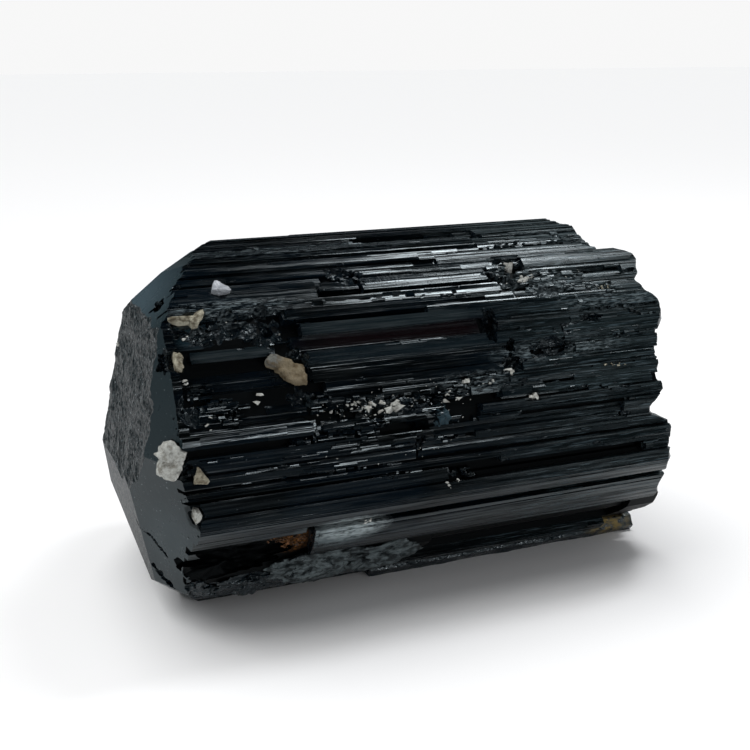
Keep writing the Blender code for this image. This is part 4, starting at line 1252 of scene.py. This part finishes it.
def coat(tree, surface, mask, tone, dulling=0.0):
    """Lay a thin coat where the mask is 1: it changes the colour and makes the surface rougher."""
    colour, roughness = surface
    mixed = add_node(tree, "ShaderNodeMix", {"data_type": "RGBA"}, i0=mask, i6=colour, i7=linear(tone))
    if dulling:
        roughness = add_node(tree, "ShaderNodeMath", {"operation": "MULTIPLY_ADD"}, i0=mask, i1=dulling,
                             i2=roughness).outputs[0]
    return mixed.outputs[2], roughness


def stained(tree, surface, place, size, tone, dulling, share=0.5, grain=0.8, draw=1.6):
    """Lay a broken stain over an oval (mm) at a place (x, angle, level), its spots drawn out along X."""
    centre = on_prism(*place)
    spots = patches(tree, (grain * draw, grain, grain), share - 0.09, share + 0.09,
                    shift=(centre.x, 0.0, 0.0), detail=4.0)
    both = add_node(tree, "ShaderNodeMath", {"operation": "MULTIPLY"}, i0=oval(tree, centre, size), i1=spots)
    return coat(tree, surface, both.outputs[0], tone, dulling)


SCHORL_TINT = (0.84, 0.96, 1.0, 1.0)   # black tourmaline mirrors white a little blue-green


def finish(material, surface, height=None, bump=0.0, ior=1.5, specular=0.5, tint=(1.0, 1.0, 1.0, 1.0)):
    """A Principled surface: (colour, roughness) as values or sockets, and a relief of some mm."""
    tree = material.node_tree
    shader = add_node(tree, "ShaderNodeBsdfPrincipled", None, Base_Color=surface[0], Roughness=surface[1],
                      IOR=ior, Specular_IOR_Level=specular, Specular_Tint=tint)
    if height is not None:
        relief = add_node(tree, "ShaderNodeBump", None, Height=height, Distance=bump * MM, Strength=1.0)
        tree.links.new(relief.outputs["Normal"], shader.inputs["Normal"])
    tree.links.new(shader.outputs["BSDF"], tree.nodes["Material Output"].inputs["Surface"])


# %% [markdown]
# Schorl is a glassy mineral, so dark that almost all we see of it is what it reflects. Its index is
# 1.63, a little above window glass. On the prism faces the finest striations, about 0.15 mm apart,
# are too fine to model, so they are drawn as bump that is long along the axis. A thin film of dust
# in patches makes the gloss uneven. The right third of the crystal is duller, and paler partly by a
# painted sheen.

# %% Schorl, prism faces: grown, striated and glassy
SCHORL_IOR = 1.63
SCHORL = linear("#020405")
SCHORL_BLUE = "#030a11"
MAROON_PAINTED_REFLECTION = "#150c0f"
TEAL_FILM = "#0e181c"
DUST = "#5a6265"
LIMONITE = "#72481b"
OCHRE = "#7d6a3a"

tree = schorl_prism.node_tree
broad_lines = mottling(tree, (40.0, 0.6, 0.6), 2.0)
fine_lines = mottling(tree, (11.0, 0.15, 0.15), 2.0, (3.0, 1.0, 2.0))
grown_lines = add_node(tree, "ShaderNodeMath", {"operation": "MULTIPLY_ADD"}, i0=fine_lines, i1=0.5,
                       i2=broad_lines).outputs[0]
satin = patches(tree, (5.0, 0.3, 0.3), 0.40, 0.62, (0.07, 0.26), (5.0, 0.0, 0.0), 4.0)
surface = (SCHORL, satin)
surface = coat(tree, surface, patches(tree, (16.0, 6.0, 6.0), 0.38, 0.6, shift=(9.0, 2.0, 4.0)), SCHORL_BLUE)
# the far end is rubbed dull and rougher; its slightly lighter tone and the fine pale streaks along it are
# partly dust and partly painted sheen of the bright room that it mirrors
dull_and_sheen_end = oval(tree, Vector((44.0, AXIS.y, AXIS.z)), (34.0, 60.0, 60.0), 0.2)
surface = coat(tree, surface, dull_and_sheen_end, "#060c0e", 0.08)
streaks = patches(tree, (5.0, 0.2, 0.2), 0.54, 0.64, shift=(2.0, 6.0, 1.0), detail=4.0)
pale_streaks_and_sheen = add_node(tree, "ShaderNodeMath", {"operation": "MULTIPLY"}, i0=dull_and_sheen_end, i1=streaks).outputs[0]
surface = coat(tree, surface, pale_streaks_and_sheen, "#344147", 0.25)
grains_of_dust = patches(tree, (0.35, 0.22, 0.22), 0.70, 0.76, (0.0, 0.8), (1.0, 8.0, 3.0))
surface = coat(tree, surface, grains_of_dust, DUST, 0.35)
# coats on single ribs: place, size (mm), soft edge, colour, dulling
for place, size, edge, tone, dulling in (
        # the first coat, in maroon, is a painted reflection: a dark reddish tint on one smooth rib
        ((-5.0, 143.2, 0.6), (14.0, 2.3, 2.3), 0.25, MAROON_PAINTED_REFLECTION, 0.0),
        ((-7.0, 139.0, 1.6), (14.5, 1.5, 1.5), 0.2, TEAL_FILM, 0.25),
        ((-6.0, 147.8, 1.7), (16.0, 1.6, 1.6), 0.3, "#0d161b", 0.12),
        ((-35.0, 136.3, 0.3), (2.4, 2.2, 2.2), 0.3, "#10222a", 0.2),
        ((-30.0, 143.6, 1.0), (6.0, 1.5, 1.5), 0.25, TEAL_FILM, 0.25)):
    surface = coat(tree, surface, oval(tree, on_prism(*place), size, edge), tone, dulling)
# a scuffed patch with white scratches, rust beside it, then pale dust between fine ribs
surface = stained(tree, surface, (-16.5, 203.5, 1.6), (5.5, 2.4, 2.4), "#4a5356", 0.5, 0.43, 0.5, 3.0)
surface = stained(tree, surface, (-14.5, 202.0, 1.6), (5.0, 2.0, 2.0), "#8c9698", 0.3, 0.47, 0.22, 5.0)
surface = stained(tree, surface, (-22.6, 208.5, 0.2), (2.6, 2.0, 2.0), LIMONITE, 0.5, 0.54, 0.4)
for place, size in (((22.0, 127.0, 1.2), (9.0, 3.4, 3.4)), ((20.0, 153.0, 1.2), (10.0, 1.6, 1.6)),
                    ((5.0, 161.0, 1.0), (6.0, 1.6, 1.6)), ((31.0, 139.0, 1.4), (8.0, 1.5, 1.5)),
                    ((28.0, 103.0, 1.0), (7.0, 4.0, 4.0)), ((-14.0, 99.0, 1.5), (22.0, 3.5, 3.5)),
                    ((-29.0, 128.5, 1.4), (9.0, 1.6, 1.6))):
    surface = stained(tree, surface, place, size, "#5d686c", 0.35, 0.57, 0.22, 6.0)

# %% Schorl, prism faces: scratches and shine
# growth lines run across the widest smooth rib and break up its gloss
across = add_node(tree, "ShaderNodeMath", {"operation": "MULTIPLY"},
                  i0=oval(tree, on_prism(3.0, 123.0, 1.5), (13.0, 2.6, 2.6), 0.3),
                  i1=patches(tree, (0.22, 3.0, 3.0), 0.51, 0.63, detail=4.0)).outputs[0]
surface = coat(tree, surface, across, "#10181c", 0.16)
# dirt in the finest grooves takes the shine away in long thin bands
shine = patches(tree, (18.0, 0.42, 0.42), 0.40, 0.56, (0.10, 0.62), (1.0, 3.0, 5.0), 4.0)
finish(schorl_prism, surface, grown_lines, 0.045, SCHORL_IOR, shine, SCHORL_TINT)

# %% Schorl, broken: conchoidal and granular, glassy in each small facet
tree = schorl_broken.node_tree
facets = add_node(tree, "ShaderNodeTexVoronoi", None, Vector=mm_coordinates(tree, (0.5, 0.5, 0.5)), Scale=1.0)
broken_height = add_node(tree, "ShaderNodeMath", {"operation": "MULTIPLY_ADD"}, i1=0.5,
                         i0=mottling(tree, (0.22, 0.22, 0.22)), i2=facets.outputs["Distance"]).outputs[0]
surface = (linear(SCHORL_BLUE), patches(tree, (1.5, 1.5, 1.5), 0.35, 0.65, (0.16, 0.42), detail=2.0))
grains_of_dust = patches(tree, (0.3, 0.3, 0.3), 0.62, 0.74, (0.0, 0.35), (4.0, 8.0, 3.0), 2.0)
surface = coat(tree, surface, grains_of_dust, DUST)
surface = stained(tree, surface, (-23.4, 206.5, 0.4), (2.6, 2.0, 2.2), LIMONITE, 0.5, 0.52, 0.5)
surface = stained(tree, surface, (38.5, 241.0, 1.4), (4.2, 2.6, 2.0), OCHRE, 0.6, 0.5)
surface = stained(tree, surface, (-30.0, 129.0, 1.0), (9.0, 2.2, 2.2), "#4d5659", 0.3, 0.56, 0.4)
surface = stained(tree, surface, (22.0, 132.0, 1.2), (14.0, 4.0, 4.0), "#4d5659", 0.3, 0.52, 0.4)
finish(schorl_broken, surface, broken_height, 0.09, SCHORL_IOR, 0.5, SCHORL_TINT)

# %% Schorl, weathered: rough grey skin on the lumps of the base, blue-grey on the patch in front
tree = schorl_weathered.node_tree
grit = mottling(tree, (0.3, 0.3, 0.3), 4.0, roughness=0.65)
surface = (linear("#0a0f11"), patches(tree, (0.3, 0.3, 0.3), 0.3, 0.7, (0.42, 0.62), detail=4.0))
skin = patches(tree, (1.4, 0.8, 0.8), 0.42, 0.62, shift=(2.0, 0.0, 0.0), detail=4.0)
surface = coat(tree, surface, skin, "#545d5f")
surface = coat(tree, surface, oval(tree, on_prism(-1.5, 169.0, 1.0), (3.5, 3.5, 3.5)), "#1f3640")
finish(schorl_weathered, surface, grit, 0.2, SCHORL_IOR, 0.4, SCHORL_TINT)

# %% Schorl, grooves: painted shade, near black with little gloss, for the unlit depths between the ribs
tree = schorl_painted_shade.node_tree
surface = (linear("#030405"), 0.55)
surface = stained(tree, surface, (-22.4, 209.0, 0.0), (2.6, 1.9, 2.2), LIMONITE, 0.3, 0.54, 0.28)
surface = stained(tree, surface, (-22.8, 208.5, 0.0), (3.0, 2.2, 2.6), "#24170b", 0.3, 0.52, 0.6)
finish(schorl_painted_shade, surface, mottling(tree, (6.0, 0.4, 0.4)), 0.03, SCHORL_IOR, 0.08, SCHORL_TINT)

# %% Schorl, smooth end faces: flat, satin, with a few specks
tree = schorl_end.node_tree
surface = (linear("#182327"), patches(tree, (3.0, 3.0, 3.0), 0.3, 0.7, (0.24, 0.36), detail=4.0))
# painted reflection: two lighter ovals, on the upper and on the lower end faces, stand for the bright room that
# these faces mirror
for place, size, tone in (((-41.0, 98.0, -4.0), (7.0, 10.0, 9.0), "#35434a"),
                          ((-40.0, 205.0, -2.0), (3.0, 9.0, 5.0), "#243034")):
    surface = coat(tree, surface, oval(tree, on_prism(*place), size, 0.5), tone)
specks = patches(tree, (0.32, 0.32, 0.32), 0.73, 0.79, shift=(4.0, 2.0, 3.0), detail=1.0)
surface = coat(tree, surface, specks, "#7b8487")
finish(schorl_end, surface, mottling(tree, (0.8, 0.8, 0.8), 4.0), 0.012, SCHORL_IOR, 0.10, SCHORL_TINT)

# %% Schorl, etched end: a dull, pitted skin that scatters light
tree = schorl_etched.node_tree
surface = (linear("#091013"), patches(tree, (0.35, 0.35, 0.8), 0.35, 0.65, (0.58, 0.36), detail=4.0))
pale_pits = patches(tree, (0.25, 0.25, 0.5), 0.54, 0.70, (0.0, 0.6), (4.0, 2.0, 3.0))
surface = coat(tree, surface, pale_pits, "#6a7376")
specks = patches(tree, (0.3, 0.3, 0.4), 0.70, 0.75, shift=(7.0, 1.0, 3.0), detail=1.0)
surface = coat(tree, surface, specks, "#838b8e")
pits = mottling(tree, (0.3, 0.3, 0.5), 4.0, roughness=0.7)
finish(schorl_etched, surface, pits, 0.11, SCHORL_IOR, 0.14, SCHORL_TINT)
print("schorl finishes are ready")

# %% [markdown]
# Feldspar is white to cream and translucent at the edges, but these grains are weathered and
# powdery, so they are rough with a stain in their cracks. Muscovite mica is silvery, and its flat
# sheets shine. The rust in the broken places is limonite.

# %% Feldspar, mica and the rust
def feldspar(name, pale, stain, share, spots=(), bump=0.16):
    """A weathered, powdery feldspar with a stain that gathers in patches and cracks."""
    material = bare_material(name)
    tree = material.node_tree
    surface = (linear(pale), 0.72)
    for centre, size, tone in spots:
        surface = coat(tree, surface, oval(tree, centre, size), tone)
    stains = patches(tree, (0.9, 0.9, 0.9), 0.60 - share, 0.74 - 0.5 * share, detail=4.0)
    surface = coat(tree, surface, stains, stain)
    cracks = add_node(tree, "ShaderNodeTexVoronoi", {"feature": "DISTANCE_TO_EDGE"},
                      Vector=mm_coordinates(tree, (0.9, 0.9, 0.9)), Scale=1.0)
    in_crack = add_node(tree, "ShaderNodeMapRange", {"clamp": True}, Value=cracks.outputs["Distance"],
                        From_Min=0.0, From_Max=0.04, To_Min=0.4, To_Max=0.0)
    surface = coat(tree, surface, in_crack.outputs["Result"], "#3b3427")
    finish(material, surface, mottling(tree, (0.3, 0.3, 0.3), 5.0, roughness=0.65), bump, 1.53)
    return material


white_feldspar = feldspar("feldspar_weathered_white", "#aeb0ab", "#75736a", 0.14)
cream_feldspar = feldspar("feldspar_cream", "#aba795", "#5f5745", 0.2)
tan_feldspar = feldspar("feldspar_iron_stained", "#776c56", "#584a32", 0.14,
                        [(on_prism(-25.2, 147.0, 1.6), (1.6, 1.2, 1.2), "#62635e")])
crumb_feldspar = feldspar("feldspar_fresh_white", "#b4b6b1", "#8d8b84", 0.14, bump=0.04)
limonite = feldspar("limonite_rust", "#70451b", "#2e1e0f", 0.2, bump=0.04)

mica = bare_material("muscovite_mica")
tree = mica.node_tree
surface = coat(tree, (linear("#7f848a"), 0.34), patches(tree, (1.2, 0.25, 0.25), 0.35, 0.65), "#b4b8be")
finish(mica, surface, mottling(tree, (1.2, 0.25, 0.25)), 0.05, 1.58, 0.8)
print("finishes of the grains are ready")

# %% Give the grains and the crumbs their finishes
GRAIN_FINISH = {
    "feldspar_lump": (white_feldspar, "white_feldspar"), "feldspar_wedge": (cream_feldspar, "cream_feldspar"),
    "feldspar_flake": (tan_feldspar, "tan_feldspar"), "feldspar_bar": (cream_feldspar, "cream_feldspar"),
    "feldspar_block": (cream_feldspar, "cream_feldspar"), "feldspar_bead": (white_feldspar, "white_feldspar"),
    "mica_flake": (mica, "silver_mica"),
}
CRUMB_FINISH = {
    "feldspar_crumbs": (crumb_feldspar, "white_feldspar"), "tan_crumbs": (cream_feldspar, "cream_feldspar"),
    "rust_crumbs": (limonite, "tan_feldspar"),
}
for name, grain in grains.items():
    grain.data.materials.append(GRAIN_FINISH[name][0])

pieces = {}
for index, (name, belts) in enumerate(CRUMB_BELTS.items()):
    crumbs = run_tree(crumb_points(name + "_points", belts), scatter, {
        "Blanks": crumb_shelf, "Seed": index, "Finish": CRUMB_FINISH[name][0]}, name)
    pieces[name] = shelve(crumbs, bpy.context.scene.collection)
    print(name, len(crumbs.data.polygons), "faces")

# %% [markdown]
# ## The pieces in the frame
# The crystal stands for the solid one, and each grain for its plain lump. Nothing moves, so every
# piece rides on the one body.

# %% Hand the pieces to the frame
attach(crystal, "root")
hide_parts(PART)
for name, grain in grains.items():
    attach(grain, "root")
    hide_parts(name)
for name, crumbs in pieces.items():
    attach(crumbs, "root")
bpy.context.scene.collection.children.unlink(workshop)
print(1 + len(grains) + len(pieces), "pieces ride on the root body")

# %% [markdown]
# ## Floor and light
# A black, glassy stone shows its surroundings more than itself, so the set is built around what
# its gloss mirrors. The object stands on a pale floor in a dim room. Curved cards of black or grey
# felt stand in front, above and behind, and a dark cloth lies before the stone: all of them are
# seen only in reflections, and keep most ribs black. Softboxes overhead and to the right, and a low
# strip in front, are small and bright, and the facets that happen to face them flash. A broad soft
# light, which the gloss does not mirror, lights the floor and the grains.

# %% Set pieces
def plain_material(name, colour, roughness):
    """A plain surface for the set."""
    material = bare_material(name)
    finish(material, (colour, roughness))
    return material


def set_piece(name, bm, material, only_reflected):
    """Put a mesh on the set, in metres; some pieces are seen only in reflections."""
    mesh = bpy.data.meshes.new(name)
    bm.to_mesh(mesh)
    bm.free()
    mesh.materials.append(material)
    obj = bpy.data.objects.new(name, mesh)
    bpy.context.scene.collection.objects.link(obj)
    if only_reflected:
        obj.visible_camera = obj.visible_diffuse = obj.visible_shadow = False
    return obj


def flat_sheet(x_range, y_range, height):
    """A level rectangle."""
    bm = bmesh.new()
    (left, right), (front, back) = x_range, y_range
    corners = [(left, front), (right, front), (right, back), (left, back)]
    bm.faces.new([bm.verts.new((x, y, height)) for x, y in corners])
    return bm


def curved_card(x_range, radius, angle_range, steps=24):
    """A card bent round the crystal's axis, from one angle to another."""
    bm = bmesh.new()
    rows = []
    for step in range(steps + 1):
        turn = angle_range[0] + (angle_range[1] - angle_range[0]) * step / steps
        place = AXIS * MM + outward_direction(turn) * radius
        rows.append([bm.verts.new((x, place.y, max(place.z, 0.001))) for x in x_range])
    for first, second in zip(rows, rows[1:]):
        bm.faces.new((first[0], first[1], second[1], second[0]))
    return bm


black_felt = plain_material("black_felt", linear("#0a0a0a"), 1.0)
dark_cloth = plain_material("dark_cloth", linear("#43484b"), 1.0)
pale_paper = plain_material("pale_paper", linear("#f6f6f6"), 0.9)
set_piece("floor", flat_sheet((-3.0, 3.0), (-3.0, 3.0), 0.0), pale_paper, False)
# name: (from x, to x) and radius in metres, (from angle, to angle), felt
grey_felt = plain_material("grey_felt", linear("#4a4d4f"), 1.0)
CARDS = {
    "front_card": ((-0.20, 0.18), 0.30, (100.0, 184.0), black_felt),
    "rear_left_card": ((-0.10, 0.085), 0.30, (8.0, 77.0), black_felt),
    "top_left_card": ((-0.12, 0.102), 0.29, (70.0, 95.0), black_felt),
    "rear_card": ((0.085, 0.165), 0.30, (8.0, 70.0), grey_felt),
}
for name, (x_range, radius, angle_range, felt) in CARDS.items():
    set_piece(name, curved_card(x_range, radius, angle_range), felt, True)
set_piece("front_cloth", flat_sheet((-0.20, 0.18), (-0.40, -0.036), 0.0005), dark_cloth, True)
print(len(CARDS), "cards stand round the crystal")

# %% [markdown]
# The room is not the same for every ray. The camera sees a nearly white backdrop, the gloss mirrors
# a dim blue-green room, and everything else is lit by a slightly brighter one.

# %% Room and lights
ROOM_SEEN = 0.935         # what the camera sees beyond the floor
ROOM_LIGHT = 0.33         # what lights the stone and the grains
ROOM_MIRRORED = 0.23      # what shows in the gloss, a little blue-green
world = bpy.data.worlds.new("dim_room")
bpy.context.scene.world = world
world.use_nodes = True
tree = world.node_tree
room = tree.nodes["Background"]
room.inputs["Color"].default_value = (0.97, 0.98, 1.0, 1.0)
room.inputs["Strength"].default_value = ROOM_LIGHT
backdrop = add_node(tree, "ShaderNodeBackground", None, Color=(1.0, 1.0, 1.0, 1.0), Strength=ROOM_SEEN)
mirrored = add_node(tree, "ShaderNodeBackground", None, Color=(0.76, 0.95, 1.0, 1.0), Strength=ROOM_MIRRORED)
rays = add_node(tree, "ShaderNodeLightPath")
in_gloss = add_node(tree, "ShaderNodeMixShader", None, i0=rays.outputs["Is Glossy Ray"], i1=room.outputs[0],
                    i2=mirrored.outputs[0])
either = add_node(tree, "ShaderNodeMixShader", None, i0=rays.outputs["Is Camera Ray"], i1=in_gloss.outputs[0],
                  i2=backdrop.outputs[0])
tree.links.new(either.outputs[0], tree.nodes["World Output"].inputs["Surface"])
print("the room is", world.name)


# %% Lamps
def hang_light(name, kind, centre, aim, power, tint):
    """A light at a place, facing another."""
    lamp = bpy.data.lights.new(name, kind)
    lamp.energy = power
    lamp.color = tint
    obj = bpy.data.objects.new(name, lamp)
    away = (Vector(centre) - Vector(aim)).to_track_quat("Z", "Y")
    obj.matrix_world = Matrix.Translation(centre) @ away.to_matrix().to_4x4()
    bpy.context.scene.collection.objects.link(obj)
    return obj


# name: centre and aim (metres), power (watts), tint, width and height (metres)
SOFTBOXES = {
    "overhead_softbox": ((0.19, 0.035, 0.42), (0.0, 0.0, 0.03), 0.54, (0.97, 0.98, 1.0), (0.09, 0.13)),
    "right_softbox": ((0.32, -0.073, 0.435), (0.03, 0.0, 0.03), 0.034, (0.94, 0.98, 1.0), (0.20, 0.07)),
    "front_strip": ((0.07, -0.27, 0.070), (-0.012, -0.02, 0.03), 0.10, (0.98, 0.98, 1.0), (0.10, 0.028)),
}
for name, (centre, aim, power, tint, size) in SOFTBOXES.items():
    box = hang_light(name, "AREA", centre, aim, power, tint)
    box.data.shape = "RECTANGLE"
    box.data.size, box.data.size_y = size
    box.visible_camera = False
broad = hang_light("broad_light", "SUN", (-0.4, 0.3, 1.0), (0.0, 0.0, 0.0), 2.6, (1.0, 1.0, 1.0))
broad.data.angle = math.radians(70.0)
broad.visible_glossy = False
bpy.context.scene.view_settings.view_transform = "Standard"
print(len(SOFTBOXES) + 1, "lamps")

# %% [markdown]
# ## Camera
# The camera stands low in front of the crystal, to the left of its middle, and looks a little down.

# %% Camera
CAMERA_FORWARD = Vector((0.3774, 0.8861, -0.2689))
CAMERA_DISTANCE = 0.196
CAMERA_TARGET = Vector((AXIS.x, AXIS.y, AXIS.z + 4.0)) * MM
lens = bpy.data.cameras.new("front_camera")
lens.lens, lens.sensor_width = 57.6, 36.0
lens.clip_start, lens.clip_end = 0.01, 20.0
camera = bpy.data.objects.new("front_camera", lens)
camera.location = CAMERA_TARGET - CAMERA_FORWARD * CAMERA_DISTANCE
camera.rotation_euler = CAMERA_FORWARD.to_track_quat("-Z", "Y").to_euler()
bpy.context.scene.collection.objects.link(camera)
bpy.context.scene.camera = camera
print("camera at (mm):", [round(v / MM, 1) for v in camera.location])
